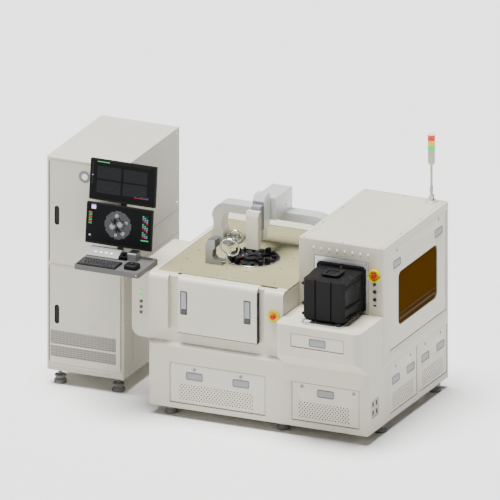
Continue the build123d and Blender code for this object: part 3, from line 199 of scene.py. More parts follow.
# blasted or brushed metal, streaked along one axis
def metal(name, colour, rough=0.32, streaks=(1, 1, 1), grain=340.0, contrast=0.18, polish=1.0):
    made = Finish(name, metal=polish)
    lines = made.noise(grain, 3.0, 0.6, made.stretched(streaks))
    smudge = made.noise(blasted["smudges"], 3.0)
    made.set("colour", made.mixColour(lines, shaded(colour, 1 - contrast), shaded(colour, 1 + contrast / 2)))
    made.set("rough", rough + (lines - 0.5) * blasted["lineRough"] + (smudge - 0.5) * blasted["smudgeRough"])
    made.bump(lines, blasted["relief"], blasted["depth"])
    return made.material


moulded = {"rubGrain": 14.0, "dark": 0.85, "pale": 1.15, "rub": 0.16, "relief": 0.4, "coatRough": 0.1}


# moulded plastic with a fine spark-eroded grain
def plastic(name, colour, rough=0.45, grain=900.0, depth=0.00008, coat=0.0, gloss=0.5):
    made = Finish(name, coat=coat, coatRough=moulded["coatRough"], gloss=gloss)
    skin = made.noise(grain, 2.0)
    rub = made.noise(moulded["rubGrain"], 4.0)
    made.set("colour", made.mixColour(rub, shaded(colour, moulded["dark"]), shaded(colour, moulded["pale"])))
    made.set("rough", rough + (rub - 0.5) * moulded["rub"])
    made.bump(skin, moulded["relief"], depth)
    return made.material


lensCap = {"rough": 0.18, "coat": 0.6, "coatRough": 0.05, "ringPitch": 4.0, "dark": 0.8, "pale": 1.1,
           "glowGrain": 60.0, "relief": 0.3, "depth": 0.0004}


# a lit lamp lens with fine moulded rings
def lamp(name, colour, power=1.2):
    made = Finish(name, rough=lensCap["rough"], coat=lensCap["coat"], coatRough=lensCap["coatRough"])
    rings = (made.part("Z") / mm).wrapped(lensCap["ringPitch"]) / lensCap["ringPitch"]
    dark = shaded(colour, lensCap["dark"])
    made.set("colour", made.mixColour(rings, dark, shaded(colour, lensCap["pale"])))
    made.set("glow", made.mixColour(made.noise(lensCap["glowGrain"]), dark, colour))
    made.set("glowPower", power)
    made.bump(rings, lensCap["relief"], lensCap["depth"])
    return made.material


tileSkin = {"mottle": 40.0, "shade": (0.86, 0.86, 0.86), "grain": 500.0, "relief": 0.2, "depth": 0.00004}


# surface that takes its colour from the tint stored on each tile
def tinted(name, rough, power, gloss):
    made = Finish(name, rough=rough, gloss=gloss)
    tint = made.add("ShaderNodeAttribute", {"attribute_name": "tileTint"}, {}, "Color")
    mottle = made.noise(tileSkin["mottle"], 3.0)
    made.set("colour", made.mixColour(mottle, tint, tileSkin["shade"], "MULTIPLY"))
    if power:
        made.set("glow", tint)
        made.set("glowPower", power)
    made.bump(made.noise(tileSkin["grain"]), tileSkin["relief"], tileSkin["depth"])
    return made.material


amber = {"grain": 2.2, "deep": (0.062, 0.026, 0.0020), "pale": (0.078, 0.034, 0.0030), "rough": 0.5,
         "cover": 0.97}


# amber light-filtering pane, clear enough to guess at what stands behind it
def amberMaterial():
    made = Finish("amberPane", rough=amber["rough"], gloss=0.0)
    made.set("colour", made.mixColour(made.noise(amber["grain"], 3.0), amber["deep"], amber["pale"]))
    made.set("alpha", amber["cover"])
    return made.material


creams = {"housing": (0.56, 0.53, 0.43), "cover": (0.60, 0.565, 0.465), "cabinet": (0.55, 0.52, 0.44)}
housingPaint = paint("housingCream", creams["housing"])
coverPaint = paint("coverCream", creams["cover"], 0.40)
cabinetPaint = paint("cabinetGrey", creams["cabinet"], 0.45)
trayPaint = paint("trayGrey", (0.085, 0.083, 0.079), 0.5, 480.0, 0.0002)
tableGloss = paint("tableEnamel", (0.30, 0.285, 0.155), 0.26, 300.0, 0.00006, 0.35)
rackBlack = paint("rackBlack", (0.03, 0.03, 0.033), 0.5)
paddleGrey = paint("paddleGrey", (0.26, 0.27, 0.275), 0.4)
latchFrame = paint("latchFrame", (0.13, 0.135, 0.14), 0.4)
cupGrey = paint("cupGrey", (0.16, 0.16, 0.155), 0.5)
leverFrame = paint("leverFrame", (0.22, 0.22, 0.22), 0.45)
railGrey = paint("railGrey", (0.24, 0.245, 0.28), 0.35, 400.0, 0.00004, 0.2)
silverMetal = metal("blastedSilver", (0.74, 0.75, 0.765), 0.36, polish=0.45)
brushedMetal = metal("brushedSilver", (0.62, 0.63, 0.65), 0.28, (1, 60, 60), 30.0)
castGrey = metal("castGrey", (0.36, 0.37, 0.37), 0.45, (1, 1, 1), 160.0, 0.25)
brightSteel = metal("brightSteel", (0.70, 0.70, 0.71), 0.16, (1, 1, 8), 90.0, 0.12)
leverSteel = metal("leverSteel", (0.26, 0.27, 0.29), 0.4, (1, 1, 30), 60.0, 0.15)
chuckGold = metal("chuckGold", (0.78, 0.66, 0.42), 0.2, (1, 1, 1), 420.0, 0.1)
stageMetal = metal("machinedGrey", (0.52, 0.53, 0.54), 0.34, (40, 1, 1), 30.0)
seamDark = plastic("seamDark", (0.035, 0.035, 0.035), 0.7)
footPlastic = plastic("footDark", (0.15, 0.15, 0.147), 0.55, gloss=0.3)
podBlack = plastic("podBlack", (0.009, 0.009, 0.0095), 0.45, 700.0, 0.00006, 0.0, 0.10)
boardBlack = plastic("boardBlack", (0.010, 0.010, 0.011), 0.5, gloss=0.3)
caseDark = plastic("caseDark", (0.006, 0.006, 0.0065), 0.5, gloss=0.15)
keyDark = plastic("keyDark", (0.025, 0.025, 0.027), 0.45)
capRed = plastic("capRed", (0.48, 0.004, 0.003), 0.35, 300.0, 0.00003, gloss=0.2)
capBlack = plastic("capBlack", (0.012, 0.012, 0.012), 0.3, 500.0, 0.00004, 0.4)
guardYellow = plastic("guardYellow", (0.62, 0.50, 0.0), 0.45, 300.0, 0.00003, gloss=0.1)
lensWhite = plastic("lensWhite", (0.80, 0.80, 0.79), 0.2, 300.0, 0.00002, 0.5)
discGrey = plastic("discGrey", (0.20, 0.195, 0.18), 0.45)
deviceGrey = plastic("deviceGrey", (0.20, 0.20, 0.195), 0.5)
pullDark = plastic("pullDark", (0.012, 0.012, 0.012), 0.5, gloss=0.2)
# painted shade: dark walls in the perforation holes, standing in for the shade inside them
paintedHoleShade = plastic("paintedHoleShade", (0.10, 0.095, 0.085), 0.6, gloss=0.1)
lampGreen = lamp("lampGreen", (0.05, 0.55, 0.12))
lampYellow = lamp("lampYellow", (0.85, 0.55, 0.03), 0.5)
lampRed = lamp("lampRed", (0.75, 0.03, 0.02), 0.5)
lampWhite = lamp("lampWhite", (0.80, 0.80, 0.78), 0.35)
lampPale = lamp("lampPale", (0.62, 0.85, 0.55), 0.7)
tileFlat = tinted("tileFlat", 0.5, 0.0, 0.1)
screenGlow = tinted("screenGlow", 0.35, 1.0, 0.12)
amberPane = amberMaterial()
print("materials ready")


def newPiece(name, mesh):
    piece = bpy.data.objects.new(name, mesh)
    bpy.context.scene.collection.objects.link(piece)
    return piece


def bakeModifiers(piece):
    graph = bpy.context.evaluated_depsgraph_get()
    graph.update()
    mesh = bpy.data.meshes.new_from_object(piece.evaluated_get(graph))
    old = piece.data
    piece.modifiers.clear()
    piece.data = mesh
    if old.users == 0:
        bpy.data.meshes.remove(old)


# a Geometry Nodes tree whose sizes are named inputs, run on points that hold a facing
class Tree(Graph):
    def __init__(self, name, **sizes):
        self.group = bpy.data.node_groups.new(name, "GeometryNodeTree")
        self.group.interface.new_socket("Geometry", in_out="INPUT", socket_type="NodeSocketGeometry")
        self.group.interface.new_socket("Geometry", in_out="OUTPUT", socket_type="NodeSocketGeometry")
        for key, value in sizes.items():
            socket = self.group.interface.new_socket(key, in_out="INPUT", socket_type="NodeSocketFloat")
            socket.default_value = value
        self.group.interface.new_socket("finish", in_out="INPUT", socket_type="NodeSocketMaterial")
        super().__init__(self.group)
        self.given = self.group.nodes.new("NodeGroupInput")

    def size(self, name):
        return Wire(self, self.given.outputs[name])

    def vector(self, x, y, z):
        return self.add("ShaderNodeCombineXYZ", {}, {0: x, 1: y, 2: z})

    def raised(self, shape, z):
        place = self.vector(0.0, 0.0, z)
        return self.add("GeometryNodeTransform", {}, {"Geometry": shape, "Translation": place})

    def drum(self, radius, depth, sides=24):
        return self.add("GeometryNodeMeshCylinder", {}, {"Vertices": sides, "Radius": radius, "Depth": depth})

    def cone(self, top, bottom, depth, sides):
        inputs = {"Vertices": sides, "Radius Top": top, "Radius Bottom": bottom, "Depth": depth}
        return self.add("GeometryNodeMeshCone", {}, inputs)

    def block(self, size=(1, 1, 1)):
        return self.add("GeometryNodeMeshCube", {}, {"Size": size})

    def rectangle(self, width, height):
        inputs = {"Width": width, "Height": height}
        return self.add("GeometryNodeCurvePrimitiveQuadrilateral", {}, inputs)

    def cut(self, whole, tool):
        inputs = {"Mesh 1": whole, "Mesh 2": tool}
        return self.add("GeometryNodeMeshBoolean", {"operation": "DIFFERENCE"}, inputs)

    def joined(self, *shapes):
        node = self.group.nodes.new("GeometryNodeJoinGeometry")
        for shape in shapes:
            self.group.links.new(shape.socket, node.inputs[0])
        return Wire(self, node.outputs[0])

    def field(self, name):
        return self.add("GeometryNodeInputNamedAttribute", {"data_type": "FLOAT_VECTOR"}, {"Name": name})

    def facing(self):
        return self.add("FunctionNodeAlignRotationToVector", {"axis": "Z"}, {"Vector": self.field("facing")})

    def leaning(self):
        return self.vector(self.size("lean"), 0.0, 0.0)

    def placed(self, shape, turn=None, scale=None):
        inputs = {"Points": self.size("Geometry"), "Instance": shape, "Rotation": turn or self.facing()}
        if scale:
            inputs["Scale"] = scale
        self.finish(self.add("GeometryNodeInstanceOnPoints", {}, inputs))

    def finish(self, shape):
        whole = self.add("GeometryNodeRealizeInstances", {}, {"Geometry": shape})
        coated = self.add("GeometryNodeSetMaterial", {}, {"Geometry": whole, "Material": self.size("finish")})
        end = self.group.nodes.new("NodeGroupOutput")
        self.group.links.new(coated.socket, end.inputs[0])


# runs a tree on points given in machine millimetres and keeps the result as a plain mesh
def grow(tree, name, body, finish, points, facing=toFront, sizes=None, fields=None):
    mesh = bpy.data.meshes.new(name)
    mesh.from_pydata([spot(*point) for point in points], [], [])
    columns = {"facing": ("FLOAT_VECTOR", "vector", [facing] * len(points)), **(fields or {})}
    for key, (kind, member, values) in columns.items():
        layer = mesh.attributes.new(key, kind, "POINT")
        for entry, value in zip(layer.data, values):
            setattr(entry, member, value)
    piece = newPiece(name, mesh)
    modifier = piece.modifiers.new("grow", "NODES")
    modifier.node_group = tree.group
    given = {**(sizes or {}), "finish": finish}
    for item in tree.group.interface.items_tree:
        if item.in_out == "INPUT" and item.name in given:
            modifier[item.identifier] = given[item.name]
    bakeModifiers(piece)
    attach(piece, body)


screwShape = {"chamfer": 0.82, "socket": 0.48, "socketDepth": 0.75, "socketSides": 6}


# screw with a chamfered head and a hexagonal socket
def makeScrewTree():
    tree = Tree("screwTree", radius=0.005, height=0.002)
    radius, height = tree.size("radius"), tree.size("height")
    head = tree.cone(radius * screwShape["chamfer"], radius, height, 24)
    socket = tree.drum(radius * screwShape["socket"], height, screwShape["socketSides"])
    tree.placed(tree.cut(head, tree.raised(socket, height * screwShape["socketDepth"])))
    return tree


lockShape = {"sides": 32, "bore": 0.8, "plug": 0.62, "barWidth": 0.2, "collarRise": 0.5, "boreRise": 1.2,
             "plugRise": 0.42, "barRise": 0.7}


# quarter-turn lock: collar, round plug and slot bar, as shares of its radius and height
def makeLockTree():
    tree = Tree("lockTree", radius=0.012, proud=0.003)
    radius, proud, sides = tree.size("radius"), tree.size("proud"), lockShape["sides"]
    collar = tree.raised(tree.drum(radius, proud, sides), proud * lockShape["collarRise"])
    bore = tree.raised(tree.drum(radius * lockShape["bore"], proud, sides), proud * lockShape["boreRise"])
    plug = tree.raised(tree.drum(radius * lockShape["plug"], proud), proud * lockShape["plugRise"])
    bar = tree.block(tree.vector(radius, radius * lockShape["barWidth"], proud))
    tree.placed(tree.joined(tree.cut(collar, bore), plug, tree.raised(bar, proud * lockShape["barRise"])))
    return tree


# flat tile that takes its size and tint from its point
def makeTileTree():
    tree = Tree("tileTree", lean=0.0)
    tree.placed(tree.block(), tree.leaning(), tree.field("tileSize"))
    return tree


# tapered key cap
def makeKeyTree():
    tree = Tree("keyTree", taper=0.84, lean=0.0)
    normal = tree.add("GeometryNodeInputNormal")
    height = tree.add("ShaderNodeSeparateXYZ", {}, {0: normal}, 2)
    top = height.above(0.5)  # of the block's faces only the upper one looks up
    inputs = {"Geometry": tree.block(), "Selection": top, "Scale": tree.size("taper")}
    cap = tree.add("GeometryNodeScaleElements", {"domain": "FACE"}, inputs)
    tree.placed(cap, tree.leaning(), tree.field("tileSize"))
    return tree


# domed lens, half of it below the face that it sits on
def makeLensTree():
    tree = Tree("lensTree", radius=0.006, proud=0.004)
    dome = tree.add("GeometryNodeMeshUVSphere", {}, {"Segments": 20, "Rings": 12, "Radius": 1.0})
    size = tree.vector(tree.size("radius"), tree.size("radius"), tree.size("proud"))
    tree.placed(tree.add("GeometryNodeTransform", {}, {"Geometry": dome, "Scale": size}))
    return tree


# rounded rectangular frame of a flat bar, drawn flat and turned to face its way
def makeFrameTree():
    tree = Tree("frameTree", width=0.1, height=0.05, corner=0.006, bar=0.003, proud=0.002)
    path = tree.rectangle(tree.size("width"), tree.size("height"))
    inputs = {"Curve": path, "Radius": tree.size("corner"), "Count": 5, "Limit Radius": True}
    rounded = tree.add("GeometryNodeFilletCurve", {"mode": "POLY"}, inputs)
    profile = tree.rectangle(tree.size("bar"), tree.size("proud"))
    tree.placed(tree.add("GeometryNodeCurveToMesh", {}, {"Curve": rounded, "Profile Curve": profile}))
    return tree


ribShape = {"draft": 0.975, "sides": 40}


# one thin ring round a lamp of the tower, a little narrower at its top
def makeRibTree():
    tree = Tree("ribTree", radius=0.028, height=0.003)
    radius = tree.size("radius")
    tree.placed(tree.cone(radius * ribShape["draft"], radius, tree.size("height"), ribShape["sides"]))
    return tree


screwTree, lockTree, tileTree = makeScrewTree(), makeLockTree(), makeTileTree()
keyTree, lensTree, ribTree, frameTree = makeKeyTree(), makeLensTree(), makeRibTree(), makeFrameTree()
print("trees ready")


# the middle of the loose shell that each face belongs to
def shellCentres(work):
    centres = {}
    for start in work.faces:
        if start in centres:
            continue
        shell, waiting = {start}, [start]
        while waiting:
            for edge in waiting.pop().edges:
                for other in edge.link_faces:
                    if other not in shell:
                        shell.add(other)
                        waiting.append(other)
        corners = [vert.co for face in shell for vert in face.verts]
        low = Vector([min(c[i] for c in corners) for i in range(3)])
        high = Vector([max(c[i] for c in corners) for i in range(3)])
        centre = machinePlace((low + high) / 2)
        for face in shell:
            centres[face] = centre
    return centres


skins = {"weld": 0.00002, "flatAngle": 0.6, "smoothAngle": 32, "roundAngle": 40, "roundSteps": 2,
         "lostArea": 0.00002, "lostShare": 0.002}


def smoothByAngle(mesh):
    work = bmesh.new()
    work.from_mesh(mesh)
    limit = math.radians(skins["smoothAngle"])
    for face in work.faces:
        face.smooth = True
    for edge in work.edges:
        edge.smooth = len(edge.link_faces) == 2 and edge.calc_face_angle(0) < limit
    work.to_mesh(mesh)
    work.free()


# whether the triangles that are drawn add up to each face, which a joined face with a hole may fail
def wellDrawn(mesh):
    drawn = [0.0] * len(mesh.polygons)
    mesh.calc_loop_triangles()
    for triangle in mesh.loop_triangles:
        drawn[triangle.polygon_index] += triangle.area
    lost = [abs(drawn[face.index] - face.area) - face.area * skins["lostShare"] for face in mesh.polygons]
    return max(lost) < skins["lostArea"]


# each face gets the last of the regions that its centre and its shell's centre lie in
def paintRegions(work, regions):
    shells = shellCentres(work)
    for face in work.faces:
        centre = machinePlace(face.calc_center_bounds())
        face.material_index = 0
        for index, (finish, test) in enumerate(regions, 1):
            if test(centre, shells[face]):
                face.material_index = index


# a CAD piece welded into one skin, with its sharp edges softly rounded and its parts coloured by region
def weldedSkin(node, material, edge, regions, joined):
    mesh = frame["nodes"][node].data.copy()
    work = bmesh.new()
    work.from_mesh(mesh)
    bmesh.ops.remove_doubles(work, verts=work.verts, dist=skins["weld"])
    if joined:
        flat = math.radians(skins["flatAngle"])
        bmesh.ops.dissolve_limit(work, angle_limit=flat, verts=work.verts, edges=work.edges)
    bmesh.ops.recalc_face_normals(work, faces=work.faces)
    if regions:
        paintRegions(work, regions)
    mesh.materials.clear()
    for finish in [material] + [finish for finish, test in regions]:
        mesh.materials.append(finish)
    work.to_mesh(mesh)
    work.free()
    smoothByAngle(mesh)
    piece = newPiece(node + "_skin", mesh)
    if edge:
        bevel = piece.modifiers.new("edge", "BEVEL")
        bevel.width = edge * mm
        bevel.segments = skins["roundSteps"]
        bevel.limit_method = "ANGLE"
        bevel.angle_limit = math.radians(skins["roundAngle"])
        bevel.harden_normals = True
        bevel.miter_outer = "MITER_ARC"
        bakeModifiers(piece)
    return piece


# flat faces are joined first, and a piece on which that loses part of a face is made again without it
def soften(node, material, edge, regions):
    piece = weldedSkin(node, material, edge, regions, True)
    if not wellDrawn(piece.data):
        print("joined faces left out:", node)
        bpy.data.objects.remove(piece)
        piece = weldedSkin(node, material, edge, regions, False)
    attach(piece, bodyOf[node])
    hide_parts(node)


# the CAD nodes by finish, slot and radius of their edges
softened = (
    (housingPaint, "cream_paint", 2.0, ("base_housing", "prober_housing", "loader_housing", "shelf_housing",
                                        "console_pod")),
    (coverPaint, "cream_paint", 1.5, ("stage_door",)),
    (coverPaint, "cream_paint", 0.8, ("front_cover_left", "front_cover_right", "side_cover_front",
                                      "side_cover_rear")),
    (coverPaint, "cream_paint", 1.2, ("window_panel",)),
    (coverPaint, "cream_paint", 0.8, ("shelf_cover",)),
    (cabinetPaint, "cabinet_paint", 2.0, ("cabinet_body",)),
    (cabinetPaint, "cabinet_paint", 1.2, ("cabinet_upper_door", "cabinet_lower_door")),
    (tableGloss, "table_gloss", 1.2, ("table_plate",)),
    (silverMetal, "silver", 2.0, ("bridge",)),
    (silverMetal, "silver", 0.8, ("port_plate",)),
    (silverMetal, "silver", 1.5, ("scope_column", "scope_carriage")),
    (coverPaint, "cream_paint", 1.5, ("scope_module",)),
    (brushedMetal, "silver", 1.0, ("docking_plate", "port_shutter")),
    (castGrey, "cast_grey", 3.0, ("wheel_bracket",)),
    (brightSteel, "bright_steel", 0.6, ("twin_wheel",)),
    (leverSteel, "bright_steel", 1.0, ("door_levers",)),
    (footPlastic, "dark_feet", 1.2, ("levelling_feet",)),
    (paddleGrey, "paddle_grey", 1.0, ("front_paddles_left", "front_paddle_right", "side_paddles_front",
                                      "side_paddles_rear", "window_paddles")),
    (podBlack, "pod_black", 1.5, ("wafer_pod",)),
    (podBlack, "pod_black", 1.0, ("trackball",)),
    (podBlack, "pod_black", 0.0, ("joystick",)),
    (boardBlack, "board_black", 0.8, ("probe_card",)),
    (amberPane, "amber_pane", 0.0, ("window_pane",)),
    (lampGreen, "lamp_green", 0.0, ("panel_fittings",)),
    (capRed, "red_cap", 0.0, ("estop_button_loader", "estop_button_prober")),
    (capBlack, "black_cap", 0.6, ("panel_button_upper", "panel_button_lower", "selector_knob")),
    (cabinetPaint, "tower_grey", 0.6, ("signal_tower",)),
    (silverMetal, "tower_grey", 0.6, ("tower_foot",)),
    (trayPaint, "tray_paint", 1.2, ("tray",)),
    (trayPaint, "tray_paint", 1.0, ("screen_mast",)),
    (caseDark, "screen_case", 1.2, ("lower_screen", "upper_screen")),
    (stageMetal, "stage_metal", 1.0, ("stage_base", "y_carriage", "x_carriage")),
    (stageMetal, "stage_metal", 0.6, ("lift_column",)),
    (chuckGold, "chuck_plate", 0.6, ("chuck",)),
    (stageMetal, "stage_metal", 1.0, ("handler_deck",)),
    (stageMetal, "stage_metal", 0.6, ("handler_column",)),
    (stageMetal, "stage_metal", 1.0, ("turntable",)),
    (stageMetal, "stage_metal", 0.5, ("blade",)),
    (rackBlack, "rack_black", 1.0, ("rack_units",)),
)

# places below are in machine millimetres: x from the right side, y from the front, z from the floor
fittings = {"lampRow": 1340, "podEdge": -1700, "podLamps": 860, "stopLow": 1150, "doorStop": (-800, -700),
            "knobEdge": -100}
devices = {"top": 1120, "console": -2100, "pedestal": (-2000, -1930), "stick": (-1930, -1850),
           "stickTop": 1174}
tower = {"x": -112.0, "y": 1364.0, "firstLamp": 1810.0, "lampHeight": 38.0, "firstRib": 2.6, "ribPitch": 5.2,
         "ribs": 7, "ribSize": {"radius": 0.0282, "height": 0.0036}}
levers = {"x": (-1451, -950), "halfWidth": 30, "low": 790, "high": 985, "front": -2.5, "back": 4.0,
          "middle": -1187, "apart": 100, "pads": 830}
pulls = {"x": -2583, "halfWidth": 19, "reach": 74, "upper": 1297, "lower": 542}
disc = {"x": -2364, "z": 1622, "seat": 47, "lens": 3}
doorFace = 284.5  # of the cabinet, with what lies behind it in its hollows
rail = {"back": 610, "low": 1290}
card = {"x": -1172.0, "y": 588.0, "top": 1077.0, "ring": 1081.0, "ringReach": 1.5}
cup = {"halfWidth": 62, "halfHeight": 26, "front": 7, "side": -9}
shelf = {"x": -326, "z": 791, "halfWidth": 61, "halfHeight": 25, "front": -162, "handle": -154}
frontLatches = {
    "front_cover_left": ((-1370.0, 332.0), (-1003.0, 332.0)),
    "front_cover_right": ((-333.5, 349.0),),
    "shelf_cover": ((-326.0, 791.0),),
}
sideLatches = {
    "side_cover_front": ((495.0, 359.0), (756.0, 359.0)),
    "side_cover_rear": ((1011.0, 359.0), (1278.0, 359.0)),
    "window_panel": ((515.0, 1237.0), (1245.0, 1237.0)),
}
holeSpan = {"low": 134, "high": 300, "shallow": 4, "deep": 12}
holeFields = {"side_cover_front": (415, 835), "side_cover_rear": (930, 1360),
              "front_cover_left": (-1530, -840), "front_cover_right": (-575, -92)}


def nearAny(places, across, up):
    return any(abs(across - a) < cup["halfWidth"] and abs(up - b) < cup["halfHeight"] for a, b in places)


# the walls of a cover's holes have their centres between its two faces
def inHoles(node, depth, across, up):
    low, high = holeFields[node]
    inField = low < across < high and holeSpan["low"] < up < holeSpan["high"]
    return inField and holeSpan["shallow"] < depth < holeSpan["deep"]


def frontCup(node, face=0):
    return (cupGrey, lambda c, s: nearAny(frontLatches[node], c.x, c.z) and c.y > face + cup["front"])


def sideCup(node):
    return (cupGrey, lambda c, s: nearAny(sideLatches[node], c.y, c.z) and c.x < cup["side"])


# the hole walls take the painted shade
def frontHoles(node):
    return (paintedHoleShade, lambda c, s: inHoles(node, c.y, c.x, c.z))


def sideHoles(node):
    return (paintedHoleShade, lambda c, s: inHoles(node, -c.x, c.y, c.z))


def towerLamp(index):
    low = tower["firstLamp"] + index * tower["lampHeight"]
    return lambda c, s: s.z > tower["firstLamp"] and low <= s.z < low + tower["lampHeight"]


def inPull(c, height):
    inOutline = abs(c.x - pulls["x"]) < pulls["halfWidth"] and abs(c.z - height) < pulls["reach"]
    return inOutline and c.y > doorFace


def fromDisc(c):
    return math.hypot(c.x - disc["x"], c.z - disc["z"])


def onTray(s, low, high):
    return low < s.x < high and s.z > devices["top"]


def isGuard(s):
    onLoader = s.x > fittings["podEdge"] and fittings["stopLow"] < s.z < fittings["lampRow"]
    return onLoader or fittings["doorStop"][0] < s.x < fittings["doorStop"][1]


def inLeverFrame(c):
    beside = any(abs(c.x - x) < levers["halfWidth"] for x in levers["x"])
    return beside and levers["front"] < c.y < levers["back"] and levers["low"] < c.z < levers["high"]


def isShelfHandle(c, s):
    inCup = abs(c.z - shelf["z"]) < shelf["halfHeight"] and abs(c.x - shelf["x"]) < shelf["halfWidth"]
    return inCup and s.y < shelf["handle"]


# finishes within a node, by the centre of the face c and of its shell s
regions = {
    "panel_fittings": [
        (lampWhite, lambda c, s: s.z > fittings["lampRow"]),
        (lampGreen, lambda c, s: s.x < fittings["podEdge"] and s.z > fittings["podLamps"]),
        (capBlack, lambda c, s: s.x < fittings["podEdge"] and s.z <= fittings["podLamps"]),
        (guardYellow, lambda c, s: isGuard(s)),
        (capBlack, lambda c, s: s.x > fittings["knobEdge"] and s.z < fittings["stopLow"]),
    ],
    "tray": [
        (deviceGrey, lambda c, s: s.x < devices["console"] and s.z > devices["top"]),
        (podBlack, lambda c, s: onTray(s, *devices["pedestal"])),
        (deviceGrey, lambda c, s: onTray(s, *devices["stick"])),
        (podBlack, lambda c, s: onTray(s, *devices["stick"]) and c.z > devices["stickTop"]),
    ],
    "signal_tower": [
        (finish, towerLamp(index)) for index, finish in enumerate((lampGreen, lampYellow, lampRed, lensWhite))
    ],
    "stage_door": [
        (capBlack, lambda c, s: s.z < levers["pads"] and abs(s.x - levers["middle"]) > levers["apart"]),
        (leverFrame, lambda c, s: inLeverFrame(c)),
    ],
    "cabinet_upper_door": [
        (pullDark, lambda c, s: inPull(c, pulls["upper"])),
        (discGrey, lambda c, s: fromDisc(c) < disc["seat"]),
        (lensWhite, lambda c, s: fromDisc(c) < disc["lens"] and c.y < doorFace),
    ],
    "cabinet_lower_door": [(pullDark, lambda c, s: inPull(c, pulls["lower"]))],
    "scope_column": [(railGrey, lambda c, s: c.y < rail["back"] and c.z > rail["low"])],
    "probe_card": [(brightSteel, lambda c, s: abs(s.z - card["ring"]) < card["ringReach"])],
    "front_cover_left": [frontCup("front_cover_left"), frontHoles("front_cover_left")],
    "front_cover_right": [frontCup("front_cover_right"), frontHoles("front_cover_right")],
    "shelf_cover": [frontCup("shelf_cover", shelf["front"]), (paddleGrey, isShelfHandle)],
    "side_cover_front": [sideCup("side_cover_front"), sideHoles("side_cover_front")],
    "side_cover_rear": [sideCup("side_cover_rear"), sideHoles("side_cover_rear")],
    "window_panel": [sideCup("window_panel")],
}
for material, slotName, edge, nodes in softened:
    for node in nodes:
        soften(node, material, edge, regions.get(node, ()))
print("CAD pieces dressed")


def tileSizes(rows):
    return ("FLOAT_VECTOR", "vector", [tuple(v * mm for v in row[3:6]) for row in rows])


# flat tiles given as x, y, z, width, depth, height and tint
def tiles(name, body, finish, rows, lean=0.0):
    points, tints = [row[:3] for row in rows], [(*row[6], 1) for row in rows]
    fields = {"tileSize": tileSizes(rows), "tileTint": ("FLOAT_COLOR", "color", tints)}
    grow(tileTree, name, body, finish, points, sizes={"lean": lean}, fields=fields)


# low and high corner of each cover or door, the level of its face, and which way it faces
seamPlaces = {
    "seamFrontLeft": ((-1562, 117), (-811, 417), 0.2, toFront),
    "seamFrontRight": ((-599, 122), (-68, 414), 0.2, toFront),
    "seamSideFront": ((390, 122), (861, 495), -0.9, toRight),
    "seamSideRear": ((906, 122), (1383, 495), -0.9, toRight),
    "seamWindowPanel": ((388, 603), (1372, 1363), -0.9, toRight),
    "seamWindow": ((543, 750), (1218, 1154), -2.2, toRight),
    "seamShelf": ((-535, 741), (-117, 841), -161.2, toFront),
    "seamPortPlate": ((-547, 902), (-119, 1300), 275.4, toFront),
    "seamSocketPlate": ((72, 188), (188, 322), -0.9, toRight),
}
seamShape = {"corner": 4.0, "bar": 2.2, "proud": 1.6}
ownSeamShapes = {"seamWindow": {"corner": 44.0, "bar": 4.0}, "seamSocketPlate": {"corner": 3.0}}


# dark seams round covers and doors
def makeSeams():
    for name, (low, high, face, facing) in seamPlaces.items():
        across, up = (low[0] + high[0]) / 2, (low[1] + high[1]) / 2
        width, height = (high[0] - low[0]) * mm, (high[1] - low[1]) * mm
        point = (across, face, up)
        if facing is toRight:
            point, width, height = (face, across, up), height, width
        shape = {**seamShape, **ownSeamShapes.get(name, {})}
        sizes = {"width": width, "height": height, **{key: value * mm for key, value in shape.items()}}
        body = "window" if name == "seamWindow" else "station"
        grow(frameTree, name, body, seamDark, [point], facing, sizes)


makeSeams()

latchBezel = {"width": 0.126, "height": 0.054, "corner": 0.009, "bar": 0.005, "proud": 0.003}
latchFaces = {"front_cover_left": 1.2, "front_cover_right": 1.2, "shelf_cover": -160.4, "side": -1.6}


# bezels round the latch cups, which lie on their side on the right-hand covers
def makeLatchFrames():
    onSide = {**latchBezel, "width": latchBezel["height"], "height": latchBezel["width"]}
    for node, places in (frontLatches | sideLatches).items():
        if node in sideLatches:
            points, facing, sizes = [(latchFaces["side"], y, z) for y, z in places], toRight, onSide
        else:
            points, facing, sizes = [(x, latchFaces[node], z) for x, z in places], toFront, latchBezel
        grow(frameTree, node + "_latchFrames", bodyOf[node], latchFrame, points, facing, sizes)


makeLatchFrames()

lockSizes = {"radius": 0.012, "proud": 0.004}
locks = {
    "front_cover_left": (toFront, [(-1370, 2, 385), (-1003, 2, 385)]),
    "front_cover_right": (toFront, [(-520, 2, 385), (-110, 2, 385)]),
    "side_cover_front": (toRight, [(-5, 495, 458), (-5, 756, 458)]),
    "side_cover_rear": (toRight, [(-5, 1011, 458), (-5, 1278, 458)]),
    "window_panel": (toRight, [(-5, 515, 1335), (-5, 1245, 1335)]),
}
screwSizes = {"radius": 0.0055, "height": 0.003}
screws = {
    "front_cover_right": (toFront, [(-580, 2, 398), (-88, 2, 398)]),
    "shelf_cover": (toFront, [(-515, -158.6, 825), (-137, -158.6, 825)]),
    "window_panel": (toRight, [(-3, 408, 1343), (-3, 1352, 1343)]),
    "cabinet_body": (toRight, [
        (-2053, 1207, 1695), (-2053, 1207, 1433), (-2053, 1207, 1176), (-2053, 1207, 869), (-2053, 325, 870),
        (-2053, 318, 537), (-2053, 318, 203)]),
    "port_plate": (toFront, [(-530, 277, 1285), (-136, 277, 1285), (-530, 277, 915), (-136, 277, 915)]),
}
cardCircle = {"radius": 160.0, "count": 12, "start": 0.1}
cardAngles = [math.tau * i / cardCircle["count"] + cardCircle["start"] for i in range(cardCircle["count"])]
topScrewHeight = 0.0022
